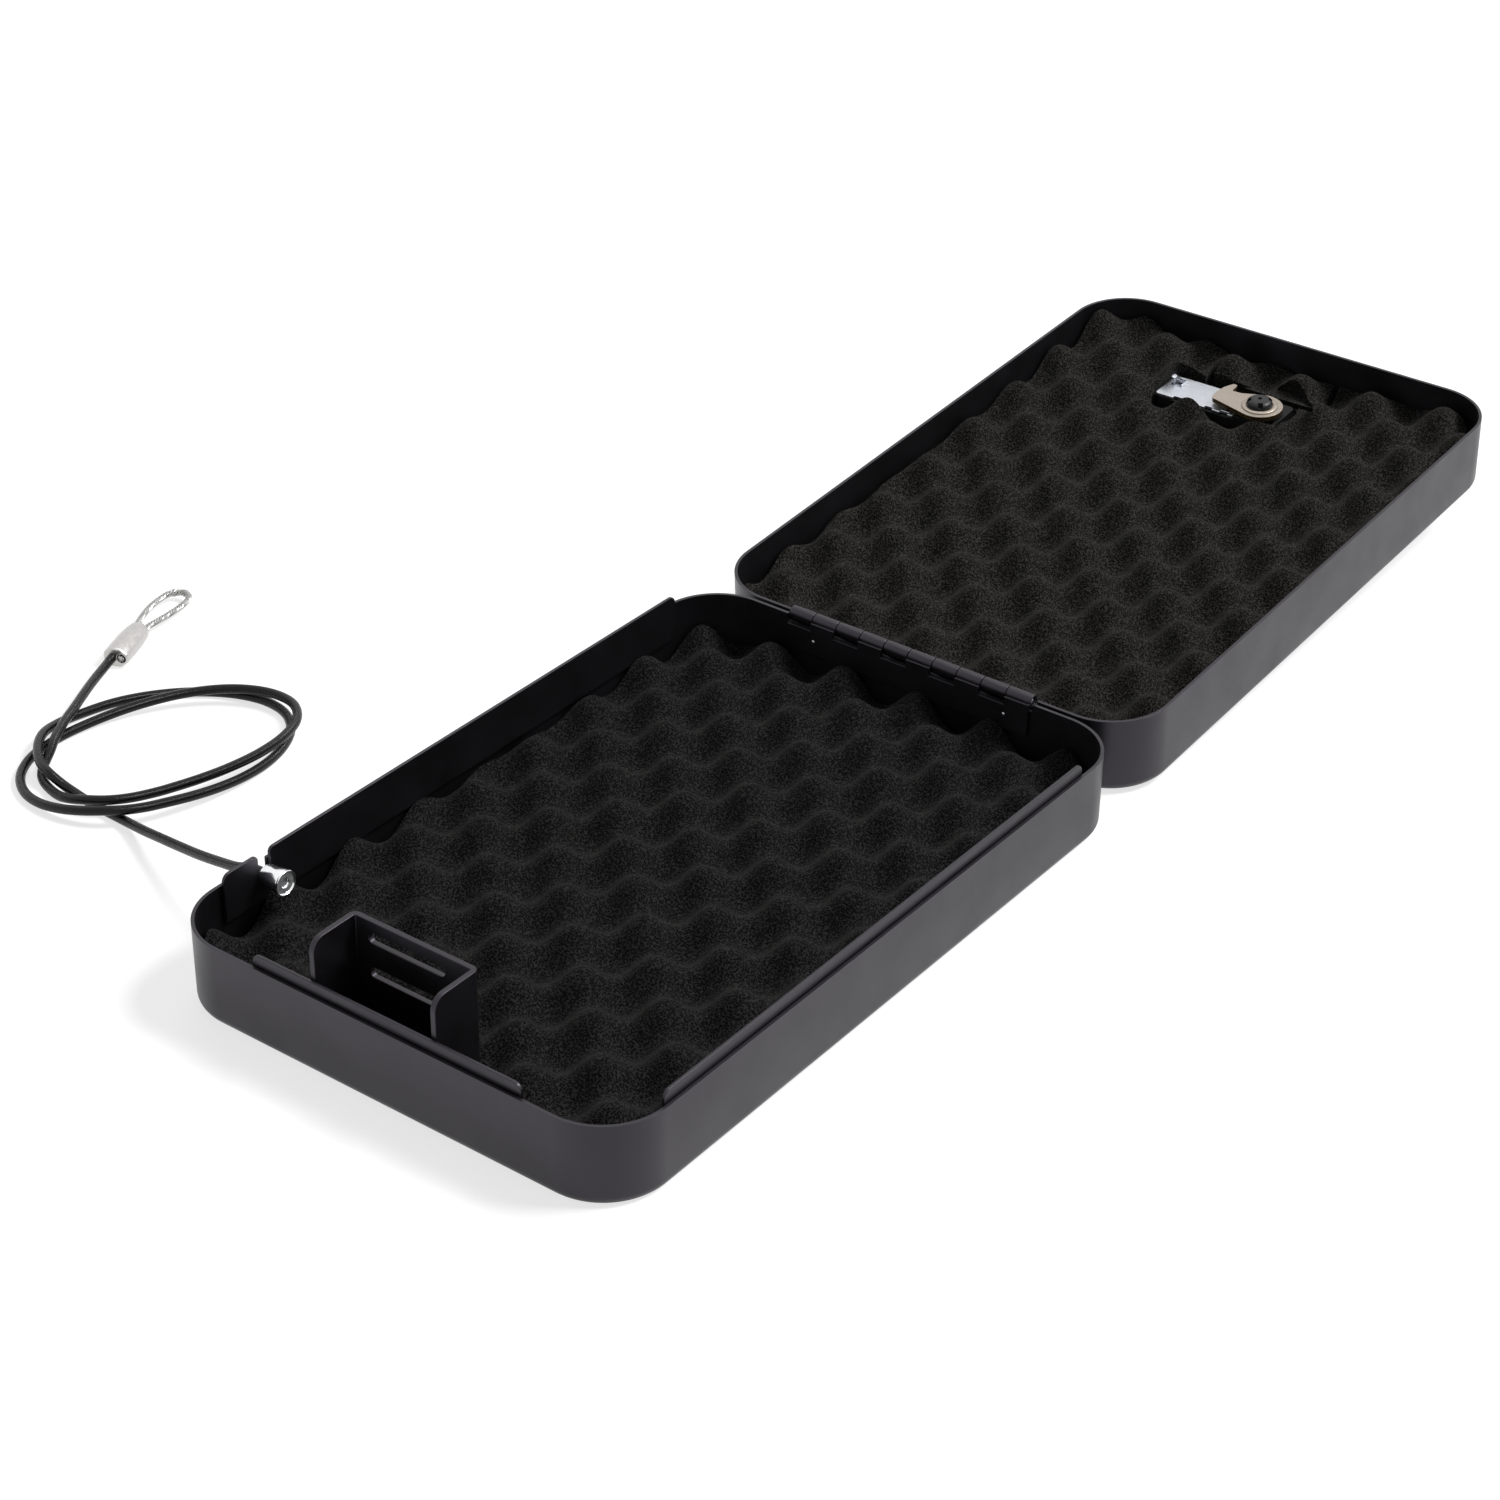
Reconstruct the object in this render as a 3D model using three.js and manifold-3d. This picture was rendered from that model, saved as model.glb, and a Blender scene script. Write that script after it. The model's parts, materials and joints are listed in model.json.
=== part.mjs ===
// Portable car safe: two hinged steel shells, a three-dial lock in the lid, egg-crate foam in both
// shells and a security cable with an eye. It lies open and flat, the lid resting on its lock knob.
// Millimetres, +Z up. The origin is the centre of the base's underside, X runs along the front wall
// and Y from the front wall to the hinge.
import * as THREE from 'three'
import { mergeVertices } from 'three/addons/utils/BufferGeometryUtils.js'
import Module from 'manifold-3d'

const wasm = await Module()
wasm.setup()

// the shells
const safeWidth = 183
const safeLength = 280
const shellHeight = 30
const cornerRadius = 23.7
const edgeRadius = 4
const shellSheet = 1.2
const rimGap = 0.4
const wallGap = 1.7

// clearances
const seatGap = 0.3
const overrun = 1

// the hinge
const hingeLength = 104.2
const hingeShift = -0.2
const knuckleCount = 10
const barrelRadius = 2.5
const pinRadius = 1.1
const pinInset = 0.5
const leafSheet = 1.2
const leafFoot = 17.6
const leafSlotClearance = 0.6
const hingeNotchClearance = 0.6

// the lip strips inside the base's walls
const stripSheet = 1.2
const stripRise = 4.2
const stripSink = 13.8
const stripCornerRadius = 3
const frontStripInsets = [39, 36.5]
const rightStripInsets = [24.2, 28.7]
const leftStripInsets = [26.1, 21.8]

// the security cable and its stop
const cableDiameter = 3.5
const cableInset = 44.3
const cableDrop = 4.2
const cableNotchWidth = 5.3
const stopLength = 9
const stopNeckRadius = 3.5
const stopFaceRadius = 4.5
const stopRim = 0.5
const stopRecess = 0.5
const stopDimpleRadius = 1.5
const stopDimpleDepth = 1

// the lock, seen from inside the lid: heights are depths below the lid's outer face
const spindleX = 3
const lockInset = 36.5
const spindleRadius = 3.5
const caseDepth = 12.7
const caseLeft = 44
const caseRight = 10
const caseNear = 8
const caseFar = 11.7
const caseFloor = 2.6
const caseCorner = 2
const plateSheet = 1.2
const plateCorner = 1
const plateFar = 9
const plateEndReach = 2.4
const washerSheet = 0.7
const washerRadius = 6.4
const camSheet = 2
const camRingRadius = 7.3
const camRingRise = 0.6
const camReach = 20.4
const camHalfWidth = 5
const camEndRadius = 9.4
const camHookReach = 17
const camHookRise = 10.3
const camNeckReach = 11
const camNeckRise = 5.3
const camArcShares = [1.35, -1.1]
const squareSide = 5
const stubRadius = 2.2
const capRadius = 5.2
const capHeight = 3.1
const capWall = 1
const bezelLength = 62
const bezelWidth = 24
const bezelSheet = 2
const bezelCorner = 4
const bezelShift = 17
const dialRadius = 7.5
const dialFlats = 10
const dialFlatShare = 0.7
const dialNotch = 0.6
const dialWidth = 5.4
const dialPitch = 7.3
const dialCount = 3
const dialProud = 1.5
const lastDialReach = 19.4
const dialShift = 0.5
const axleRadius = 1.5
const axleSeat = 3
const sleeveRadius = 2.6
const collarRadius = 3.6
const collarWidth = 1.1
const gateWidth = 2
const gateDepth = 0.9
const barDepth = 2.2
const barSheet = 1.4
const barFinger = 0.9
const springSheet = 0.4
const springDepth = 2.8
const fingerReach = 1.4
const screwRadius = 1
const screwHeadRadius = 1.9
const screwHeadDepth = 1.3
const screwInset = 2.8
const screwNear = 3.5
const combWidth = 3.6
const combDepth = 1.5
const windowWidth = 5
const windowInset = 1.5
const windowFar = 2.9
const sliderPost = 1.8
const sliderPostWidth = 2.4
const sliderRise = 3
const sliderFoot = 1.2
const sliderFootWidth = 6
const sliderFootRun = 2.4
const sliderTravel = 2.5
const knobRadius = 8.5
const knobHeight = 14.3
const knobChamfer = 0.6
const knobSocket = 8
const knobFluteRadius = 1.3
const knobFluteCount = 12

// the bracket on the base's floor that the hook of the cam catches
const bracketSheet = 2
const bracketWidth = 50.5
const bracketShift = 7.05
const bracketTopGap = 11.9
const bracketBend = 2.6
const bracketCorner = 5
const webStandoff = 13
const catchLength = 30.6
const catchHeight = 3.8
const catchPastSpindle = 5.6
const catchSpacing = 12.8

// the egg-crate foam
const foamMiddle = 13.6
const foamSwing = 5.8
const foamPitchAcross = 31.2
const foamPitchAlong = 33.8
const foamClearance = 0.8
const foamSteps = 4
const baseCrest = [14.9, 0.6]
const baseFoamTurn = THREE.MathUtils.degToRad(3.5)
const lidCrest = [12.8, -7.2]
const lidFoamTurn = THREE.MathUtils.degToRad(2)
// how far the lid's lining, cut a little large, rides up its side walls, its near wall and its far wall
const lidFoamRise = { sides: 4.7, near: 1.3, far: 4.1 }
const lockPocketMargin = 2.6
const lockPocketCorner = 6
const lockPocketNear = 5.2
const camSweepClearance = 1.6
const slitDepthClearance = 1.4
const webSlitClearance = 0.75

// the ferrule and the eye at the cable's end
const ferruleWidth = 9.5
const ferruleHeight = 7.6
const ferruleFlats = 8
const strandDiameter = 2.4

const weldShare = 1e-4
const arcSteps = 8
const shellArcSteps = 5
const edgeSteps = 3
const bendSteps = 4
const roundSides = 24
const cableSides = 8
const loopSides = 6
const loopStepsPerTurn = 24
const samplesPerStep = 12
const eyeSteps = 30
const quarterTurn = Math.PI / 2
const halfTurn = Math.PI
const fullTurn = 2 * Math.PI

const hingeY = safeLength / 2 + wallGap / 2
const hingeZ = shellHeight + rimGap / 2
const innerX = safeWidth / 2 - shellSheet
const innerY = safeLength / 2 - shellSheet
const floorZ = shellSheet + seatGap
const closedHeight = 2 * shellHeight + rimGap
const spindleY = safeLength / 2 - lockInset
const dialY = spindleY + dialShift
const cableY = cableInset - safeLength / 2
const cableExitHeight = shellHeight - cableDrop

// shapes to solids and back

function toSolid(geometry) {
  const bare = geometry.clone()
  bare.deleteAttribute('normal')
  bare.deleteAttribute('uv')
  const merged = mergeVertices(bare, seatGap * weldShare)
  const mesh = new wasm.Mesh({
    numProp: 3,
    vertProperties: new Float32Array(merged.attributes.position.array),
    triVerts: new Uint32Array(merged.index.array),
  })
  return new wasm.Manifold(mesh)
}

function toGeometry(solid) {
  const mesh = solid.getMesh()
  const geometry = new THREE.BufferGeometry()
  geometry.setAttribute('position', new THREE.BufferAttribute(new Float32Array(mesh.vertProperties), 3))
  geometry.setIndex(new THREE.BufferAttribute(new Uint32Array(mesh.triVerts), 1))
  geometry.computeVertexNormals()
  return geometry
}

const cut = (solid, ...tools) => tools.reduce((left, tool) => left.subtract(tool), solid)
const join = (solid, ...others) => others.reduce((sum, other) => sum.add(other), solid)

function block(x, y, z) {
  const geometry = new THREE.BoxGeometry(x[1] - x[0], y[1] - y[0], z[1] - z[0])
  geometry.translate((x[0] + x[1]) / 2, (y[0] + y[1]) / 2, (z[0] + z[1]) / 2)
  return toSolid(geometry)
}

// round rods, upright along Z or lying along X
function rod(radius, x, y, z, sides = roundSides) {
  const geometry = new THREE.CylinderGeometry(radius, radius, z[1] - z[0], sides)
  geometry.rotateX(quarterTurn)
  geometry.translate(x, y, (z[0] + z[1]) / 2)
  return toSolid(geometry)
}

function lyingRod(radius, x, y, z, sides = roundSides) {
  const geometry = new THREE.CylinderGeometry(radius, radius, x[1] - x[0], sides)
  geometry.rotateZ(quarterTurn)
  geometry.translate((x[0] + x[1]) / 2, y, z)
  return toSolid(geometry)
}

function slab(shape, z, steps = bendSteps) {
  const options = { depth: z[1] - z[0], bevelEnabled: false, curveSegments: steps }
  return toSolid(new THREE.ExtrudeGeometry(shape, options).translate(0, 0, z[0]))
}

function roundedShape(x, y, radius) {
  const shape = new THREE.Shape()
  shape.absarc(x[1] - radius, y[1] - radius, radius, 0, quarterTurn)
  shape.absarc(x[0] + radius, y[1] - radius, radius, quarterTurn, halfTurn)
  shape.absarc(x[0] + radius, y[0] + radius, radius, halfTurn, halfTurn + quarterTurn)
  shape.absarc(x[1] - radius, y[0] + radius, radius, halfTurn + quarterTurn, fullTurn)
  shape.closePath()
  return shape
}

// the pressed shells

function rimRing(inset, z) {
  const shape = roundedShape(
    [inset - safeWidth / 2, safeWidth / 2 - inset],
    [inset - safeLength / 2, safeLength / 2 - inset],
    cornerRadius - inset,
  )
  const points = shape.getPoints(shellArcSteps)
  points.pop()
  return points.map((point) => new THREE.Vector3(point.x, point.y, z))
}

// rings from the middle of the underside, over the rim and down to the middle of the floor
function pressedShell() {
  const rings = []
  const bendAngles = Array.from({ length: edgeSteps + 1 }, (_, step) => (step / edgeSteps) * quarterTurn)
  for (const angle of bendAngles) {
    rings.push(rimRing(edgeRadius * (1 - Math.sin(angle)), edgeRadius * (1 - Math.cos(angle))))
  }
  rings.push(rimRing(0, shellHeight))
  rings.push(rimRing(shellSheet, shellHeight))
  const innerRadius = edgeRadius - shellSheet
  for (const angle of bendAngles.reverse()) {
    const inset = shellSheet + innerRadius * (1 - Math.sin(angle))
    rings.push(rimRing(inset, shellSheet + innerRadius * (1 - Math.cos(angle))))
  }
  return stackRings(rings)
}

// a closed skin through rings of equal count, with a flat fan over its first and last ring
function stackRings(rings) {
  const count = rings[0].length
  const positions = rings.flat().flatMap((point) => point.toArray())
  const triangles = []
  for (let level = 0; level + 1 < rings.length; level += 1) {
    for (let step = 0; step < count; step += 1) {
      const here = level * count + step
      const next = level * count + ((step + 1) % count)
      triangles.push(here, next, next + count, here, next + count, here + count)
    }
  }
  const last = (rings.length - 1) * count
  for (let step = 1; step + 1 < count; step += 1) {
    triangles.push(0, step + 1, step)
    triangles.push(last, last + step, last + step + 1)
  }
  const geometry = new THREE.BufferGeometry()
  geometry.setAttribute('position', new THREE.Float32BufferAttribute(positions, 3))
  geometry.setIndex(triangles)
  return toSolid(geometry)
}

// the clearance that both hinge walls leave for the barrel; side is 1 at +Y and -1 at -Y
function hingeNotch(side) {
  const half = hingeLength / 2 + hingeNotchClearance
  const wall = [side * (innerY - overrun), side * (safeLength / 2 + overrun)]
  wall.sort((low, high) => low - high)
  return block(
    [hingeShift - half, hingeShift + half],
    wall,
    [hingeZ - barrelRadius - hingeNotchClearance, shellHeight + overrun],
  )
}

// the hinge, the same leaf in both shells with the knuckles of one parity

function hingeLeaf(side, parity) {
  const inner = innerY - seatGap - leafSheet
  const across = (low, high) => (side > 0 ? [low, high] : [-high, -low])
  const left = hingeShift - hingeLength / 2
  const pitch = hingeLength / knuckleCount
  const leafSpan = [left + seatGap, left + hingeLength - seatGap]
  let leaf = block(leafSpan, across(inner, inner + leafSheet), [leafFoot, hingeZ])
  for (let index = 0; index < knuckleCount; index += 1) {
    const start = left + index * pitch
    if (index % 2 === parity) {
      const span = [start + seatGap / 2, start + pitch - seatGap / 2]
      const neck = block(span, across(inner, hingeY - pinRadius), [hingeZ - leafSheet, hingeZ])
      leaf = join(leaf, neck, lyingRod(barrelRadius, span, side * hingeY, hingeZ))
    } else {
      const span = [start - seatGap / 2, start + pitch + seatGap / 2]
      const depth = hingeZ - barrelRadius - leafSlotClearance
      leaf = cut(leaf, block(span, across(inner - overrun, hingeY), [depth, hingeZ + overrun]))
    }
  }
  const bore = [left - overrun, left + hingeLength + overrun]
  return cut(leaf, lyingRod(pinRadius + seatGap, bore, side * hingeY, hingeZ))
}

function hingePin() {
  const half = hingeLength / 2 - pinInset
  return lyingRod(pinRadius, [hingeShift - half, hingeShift + half], hingeY, hingeZ)
}

// the strips that stand up inside the base's walls and key into the lid

function stripShape(from, to) {
  const low = shellHeight - stripSink
  const high = shellHeight + stripRise
  const shape = new THREE.Shape()
  shape.moveTo(from, low)
  shape.lineTo(to, low)
  shape.absarc(to - stripCornerRadius, high - stripCornerRadius, stripCornerRadius, 0, quarterTurn)
  shape.absarc(from + stripCornerRadius, high - stripCornerRadius, stripCornerRadius, quarterTurn, halfTurn)
  shape.closePath()
  return shape
}

function frontStrip() {
  const shape = stripShape(frontStripInsets[0] - safeWidth / 2, safeWidth / 2 - frontStripInsets[1])
  const geometry = standingSlab(shape, stripSheet)
  return toSolid(geometry.translate(0, seatGap + stripSheet - innerY, 0))
}

function sideStrip(side, insets) {
  const shape = stripShape(insets[0] - safeLength / 2, safeLength / 2 - insets[1])
  const geometry = standingSlab(shape, stripSheet).rotateZ(quarterTurn)
  const inner = innerX - seatGap - stripSheet
  return toSolid(geometry.translate(side > 0 ? inner : -inner - stripSheet, 0, 0))
}

// a shape drawn in X and Z, thickened from y = 0 to -thickness
function standingSlab(shape, thickness) {
  const options = { depth: thickness, bevelEnabled: false, curveSegments: bendSteps }
  return new THREE.ExtrudeGeometry(shape, options).rotateX(quarterTurn)
}

// the slot with a round bottom that the cable drops into
function cableNotch() {
  const half = cableNotchWidth / 2
  const shape = new THREE.Shape()
  shape.moveTo(cableY + half, shellHeight + stripRise + overrun)
  shape.lineTo(cableY - half, shellHeight + stripRise + overrun)
  shape.absarc(cableY, cableExitHeight + seatGap, half, halfTurn, fullTurn)
  shape.closePath()
  const depth = shellSheet + seatGap + stripSheet + 2 * overrun
  const geometry = standingSlab(shape, depth).rotateZ(quarterTurn)
  return toSolid(geometry.translate(-safeWidth / 2 - overrun, 0, 0))
}

// the latch bracket

const webRear = spindleY + webStandoff
const bracketLeft = spindleX - bracketShift - bracketWidth / 2
const bracketRight = bracketLeft + bracketWidth
const bracketTop = closedHeight - bracketTopGap
const wingFront = innerY - seatGap - stripSheet - seatGap
const camDepth = floorZ + caseDepth + seatGap + plateSheet + seatGap + washerSheet + seatGap
const catchHigh = closedHeight - camDepth - camSheet / 2

function latchBracket() {
  const front = -wingFront
  const rear = -webRear
  const outer = bracketBend
  const bendInner = bracketBend - bracketSheet
  const plan = new THREE.Shape()
  plan.moveTo(bracketLeft, front)
  plan.lineTo(bracketLeft + bracketSheet, front)
  plan.absarc(bracketLeft + outer, rear - outer, bendInner, halfTurn, quarterTurn, true)
  plan.absarc(bracketRight - outer, rear - outer, bendInner, quarterTurn, 0, true)
  plan.lineTo(bracketRight - bracketSheet, front)
  plan.lineTo(bracketRight, front)
  plan.absarc(bracketRight - outer, rear - outer, outer, 0, quarterTurn)
  plan.absarc(bracketLeft + outer, rear - outer, outer, quarterTurn, halfTurn)
  plan.closePath()
  const channel = slab(plan, [floorZ, bracketTop])

  const side = new THREE.Shape()
  side.moveTo(rear + overrun, floorZ - overrun)
  side.lineTo(rear + overrun, bracketTop + overrun)
  side.lineTo(front + bracketCorner, bracketTop + overrun)
  side.lineTo(front + bracketCorner, bracketTop)
  side.absarc(front + bracketCorner, bracketTop - bracketCorner, bracketCorner, quarterTurn, halfTurn)
  side.lineTo(front, floorZ - overrun)
  side.closePath()
  const sweep = standingSlab(side, bracketWidth + 2 * overrun).rotateZ(quarterTurn)
  const trimmed = channel.intersect(toSolid(sweep.translate(bracketLeft - overrun, 0, 0)))

  const right = spindleX + catchPastSpindle
  const catches = [catchHigh, catchHigh - catchSpacing].map((middle) => {
    const slot = roundedShape(
      [right - catchLength, right],
      [middle - catchHeight / 2, middle + catchHeight / 2],
      catchHeight / 2 - seatGap,
    )
    const depth = bracketSheet + 2 * overrun
    return toSolid(standingSlab(slot, depth).translate(0, rear + overrun, 0))
  })
  return cut(trimmed, ...catches)
}

// the foam

// a block whose top waves in a lattice of crests and hollows turned about one crest, and may rise to its edges
function eggCrate(crest, turn, rise = { sides: 0, near: 0, far: 0 }) {
  const halfX = innerX - seatGap - stripSheet - seatGap
  const halfY = wingFront
  const stepX = foamPitchAcross / foamSteps
  const stepY = foamPitchAlong / foamSteps
  const reach = Math.hypot(halfX, halfY) / 2 + foamPitchAlong
  const countX = Math.ceil((halfX + reach) / 2 / stepX) + foamSteps
  const countY = Math.ceil((halfY + reach / 2) / stepY)
  const rows = 2 * countX + 1
  const columns = 2 * countY + 1
  const cosine = Math.cos(turn)
  const sine = Math.sin(turn)
  const edgeRise = (x, y) => (
    rise.sides * (x / halfX) ** 2
    + ((rise.far + rise.near) / 2) * (y / halfY) ** 2
    + ((rise.far - rise.near) / 2) * (y / halfY)
  )
  const positions = []
  for (const top of [true, false]) {
    for (let row = 0; row < rows; row += 1) {
      for (let column = 0; column < columns; column += 1) {
        const u = (row - countX) * stepX
        const v = (column - countY) * stepY
        const wave = Math.cos((fullTurn * u) / foamPitchAcross) * Math.cos((fullTurn * v) / foamPitchAlong)
        const x = crest[0] + cosine * u - sine * v
        const y = crest[1] + sine * u + cosine * v
        positions.push(x, y, top ? foamMiddle + foamSwing * wave + edgeRise(x, y) : 0)
      }
    }
  }
  const triangles = []
  const lower = rows * columns
  const edge = (a, b) => triangles.push(a, a + lower, b + lower, a, b + lower, b)
  for (let row = 0; row + 1 < rows; row += 1) {
    for (let column = 0; column + 1 < columns; column += 1) {
      const a = row * columns + column
      const b = a + columns
      triangles.push(a, b, b + 1, a, b + 1, a + 1)
      triangles.push(a + lower, b + 1 + lower, b + lower, a + lower, a + 1 + lower, b + 1 + lower)
    }
    edge(row * columns, (row + 1) * columns)
    edge((row + 2) * columns - 1, (row + 1) * columns - 1)
  }
  for (let column = 0; column + 1 < columns; column += 1) {
    edge(column + 1, column)
    edge((rows - 1) * columns + column, (rows - 1) * columns + column + 1)
  }
  const geometry = new THREE.BufferGeometry()
  geometry.setAttribute('position', new THREE.Float32BufferAttribute(positions, 3))
  geometry.setIndex(triangles)
  const inset = safeWidth / 2 - halfX
  const outline = roundedShape([-halfX, halfX], [-halfY, halfY], cornerRadius - inset)
  const prism = slab(outline, [floorZ, shellHeight])
  return toSolid(geometry).intersect(prism)
}

function baseFoam() {
  const pocket = block(
    [bracketLeft - foamClearance, bracketRight + foamClearance],
    [-safeLength / 2, foamClearance - webRear],
    [0, shellHeight],
  )
  return cut(eggCrate(baseCrest, baseFoamTurn), pocket)
}

function lidFoam() {
  const lockPocket = slab(
    roundedShape(
      [spindleX - caseLeft - lockPocketMargin / 2, spindleX + caseRight + lockPocketMargin],
      [spindleY - caseNear - lockPocketNear, spindleY + caseFar + lockPocketMargin / 2],
      lockPocketCorner,
    ),
    [0, shellHeight],
  )
  // the hook's quarter turn, away from the hinge
  const sweepRadius = camReach + camSweepClearance
  const sweep = rod(sweepRadius, spindleX, spindleY, [camDepth - camSweepClearance, shellHeight])
  const farHalf = block(
    [spindleX - sweepRadius - overrun, spindleX + sweepRadius + overrun],
    [spindleY, spindleY + sweepRadius + overrun],
    [0, shellHeight],
  )
  // the slit that the closed bracket stands in
  const slitZ = [bracketTopGap - slitDepthClearance, shellHeight]
  const wingReach = [webRear - webSlitClearance, safeLength / 2]
  const slit = [
    block([bracketLeft - seatGap, bracketLeft + bracketSheet + seatGap], wingReach, slitZ),
    block([bracketRight - bracketSheet - seatGap, bracketRight + seatGap], wingReach, slitZ),
    block(
      [bracketLeft, bracketRight],
      [webRear - webSlitClearance, webRear + bracketSheet + webSlitClearance],
      slitZ,
    ),
  ]
  return cut(eggCrate(lidCrest, lidFoamTurn, lidFoamRise), lockPocket, sweep.intersect(farHalf), ...slit)
}

// the lock

const caseX = [spindleX - caseLeft, spindleX + caseRight]
const caseY = [spindleY - caseNear, spindleY + caseFar]
const caseEnd = floorZ + caseDepth
const bezelZ = [-seatGap - bezelSheet, -seatGap]
const dialZ = bezelZ[0] - dialProud + dialRadius
const dialX = Array.from(
  { length: dialCount },
  (_, index) => spindleX - lastDialReach - (dialCount - 1 - index) * dialPitch,
)
const cavityX = [
  dialX[0] - dialWidth / 2 - dialProud,
  dialX[dialCount - 1] + dialPitch - dialWidth / 2 + seatGap,
]
const cavityY = [dialY - dialRadius - seatGap, dialY + dialRadius + seatGap]
const spindleBore = spindleRadius + seatGap
const barY = cavityY[1] + 2 * seatGap
const barZ = [dialZ - barDepth / 2, dialZ + barDepth / 2]
const screwPlaces = [
  [caseX[0] + screwInset, caseY[0] + screwNear],
  [caseX[1] - screwNear, caseY[0] + screwNear],
]
const windowX = [caseX[0] + windowInset, caseX[0] + windowInset + sliderPost + sliderTravel + 2 * seatGap]
const lastTooth = dialX[dialCount - 1] + dialPitch
const plateX = [caseX[0], lastTooth + combWidth / 2 + plateEndReach]
const plateY = [caseY[0], spindleY + plateFar]
const plateZ = [caseEnd + seatGap, caseEnd + seatGap + plateSheet]
const windowY = [plateY[1] - windowFar - windowWidth, plateY[1] - windowFar]
const windowMiddle = (windowY[0] + windowY[1]) / 2
const footDepth = sliderFoot + 2 * seatGap

// a block as high as the cover plate's top, cut down to a seat for the plate beside the spindle's boss
function lockCase() {
  const body = slab(roundedShape(caseX, caseY, caseCorner), [floorZ, plateZ[1]])
  const plateSeat = block(
    [caseX[0] - overrun, plateX[1] + seatGap],
    [caseY[0] - overrun, caseY[1] + overrun],
    [caseEnd, plateZ[1] + overrun],
  )
  const cavity = block(cavityX, cavityY, [floorZ - overrun, caseEnd - caseFloor])
  const barChannel = block(
    [cavityX[0], spindleX + spindleRadius],
    [cavityY[1] - overrun, barY + barSheet + seatGap],
    [floorZ - overrun, barZ[1] + seatGap],
  )
  const barBranch = block(
    [spindleX - spindleRadius, spindleX + spindleRadius],
    [spindleY, barY + barSheet + seatGap],
    [floorZ - overrun, barZ[1] + seatGap],
  )
  const boreX = [cavityX[0] - axleSeat - seatGap, cavityX[1] + axleSeat + seatGap]
  const axleBore = lyingRod(axleRadius + seatGap, boreX, dialY, dialZ)
  const footPocket = block(
    [windowX[0] - seatGap, windowX[0] + sliderFootRun + sliderTravel + 2 * seatGap],
    [windowMiddle - sliderFootWidth / 2 - seatGap, windowMiddle + sliderFootWidth / 2 + seatGap],
    [caseEnd - footDepth, caseEnd + overrun],
  )
  const bore = rod(spindleBore, spindleX, spindleY, [floorZ - overrun, plateZ[1] + overrun])
  const screwHoles = screwPlaces.flatMap(([x, y]) => [
    rod(screwRadius + seatGap, x, y, [floorZ - overrun, caseEnd + overrun]),
    rod(screwHeadRadius + seatGap, x, y, [caseEnd - screwHeadDepth - 2 * seatGap, plateZ[1] + overrun]),
  ])
  return cut(body, plateSeat, cavity, barChannel, barBranch, axleBore, footPocket, bore, ...screwHoles)
}

function lockBezel() {
  const middle = spindleX - bezelShift
  const shape = roundedShape(
    [middle - bezelLength / 2, middle + bezelLength / 2],
    [dialY - bezelWidth / 2, dialY + bezelWidth / 2],
    bezelCorner,
  )
  const drop = dialZ - bezelZ[1]
  const windowHalf = Math.sqrt(dialRadius ** 2 - drop ** 2) + seatGap
  const windows = dialX.map((x) => block(
    [x - dialWidth / 2 - seatGap, x + dialWidth / 2 + seatGap],
    [dialY - windowHalf, dialY + windowHalf],
    [bezelZ[0] - overrun, bezelZ[1] + overrun],
  ))
  const bore = rod(spindleBore, spindleX, spindleY, [bezelZ[0] - overrun, bezelZ[1] + overrun])
  const blindHoles = screwPlaces.map(([x, y]) => (
    rod(screwRadius + seatGap, x, y, [bezelZ[0] + 2 * seatGap, bezelZ[1] + overrun])
  ))
  return cut(slab(shape, bezelZ), ...windows, bore, ...blindHoles)
}

// the openings that the lid's sheet has for the lock
function lidOpenings() {
  const sheet = [-overrun, floorZ]
  return [
    block(cavityX, cavityY, sheet),
    rod(spindleBore, spindleX, spindleY, sheet),
    ...screwPlaces.map(([x, y]) => rod(screwRadius + seatGap, x, y, sheet)),
  ]
}

function coverPlate() {
  const plate = slab(roundedShape(plateX, plateY, plateCorner), plateZ)
  const through = [plateZ[0] - overrun, plateZ[1] + overrun]
  const comb = [...dialX, lastTooth].map((x) => block(
    [x - combWidth / 2, x + combWidth / 2],
    [caseY[0] - overrun, caseY[0] + combDepth],
    through,
  ))
  return cut(plate, ...comb, block(windowX, windowY, through))
}

function codeSlider() {
  const postX = [windowX[0] + seatGap, windowX[0] + seatGap + sliderPost]
  const footZ = [caseEnd - sliderFoot - seatGap, caseEnd - seatGap]
  const post = block(
    postX,
    [windowMiddle - sliderPostWidth / 2, windowMiddle + sliderPostWidth / 2],
    [footZ[0], caseEnd + seatGap + plateSheet + sliderRise],
  )
  const foot = block(
    [postX[0], postX[0] + sliderFootRun],
    [windowMiddle - sliderFootWidth / 2, windowMiddle + sliderFootWidth / 2],
    footZ,
  )
  return join(post, foot)
}

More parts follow.
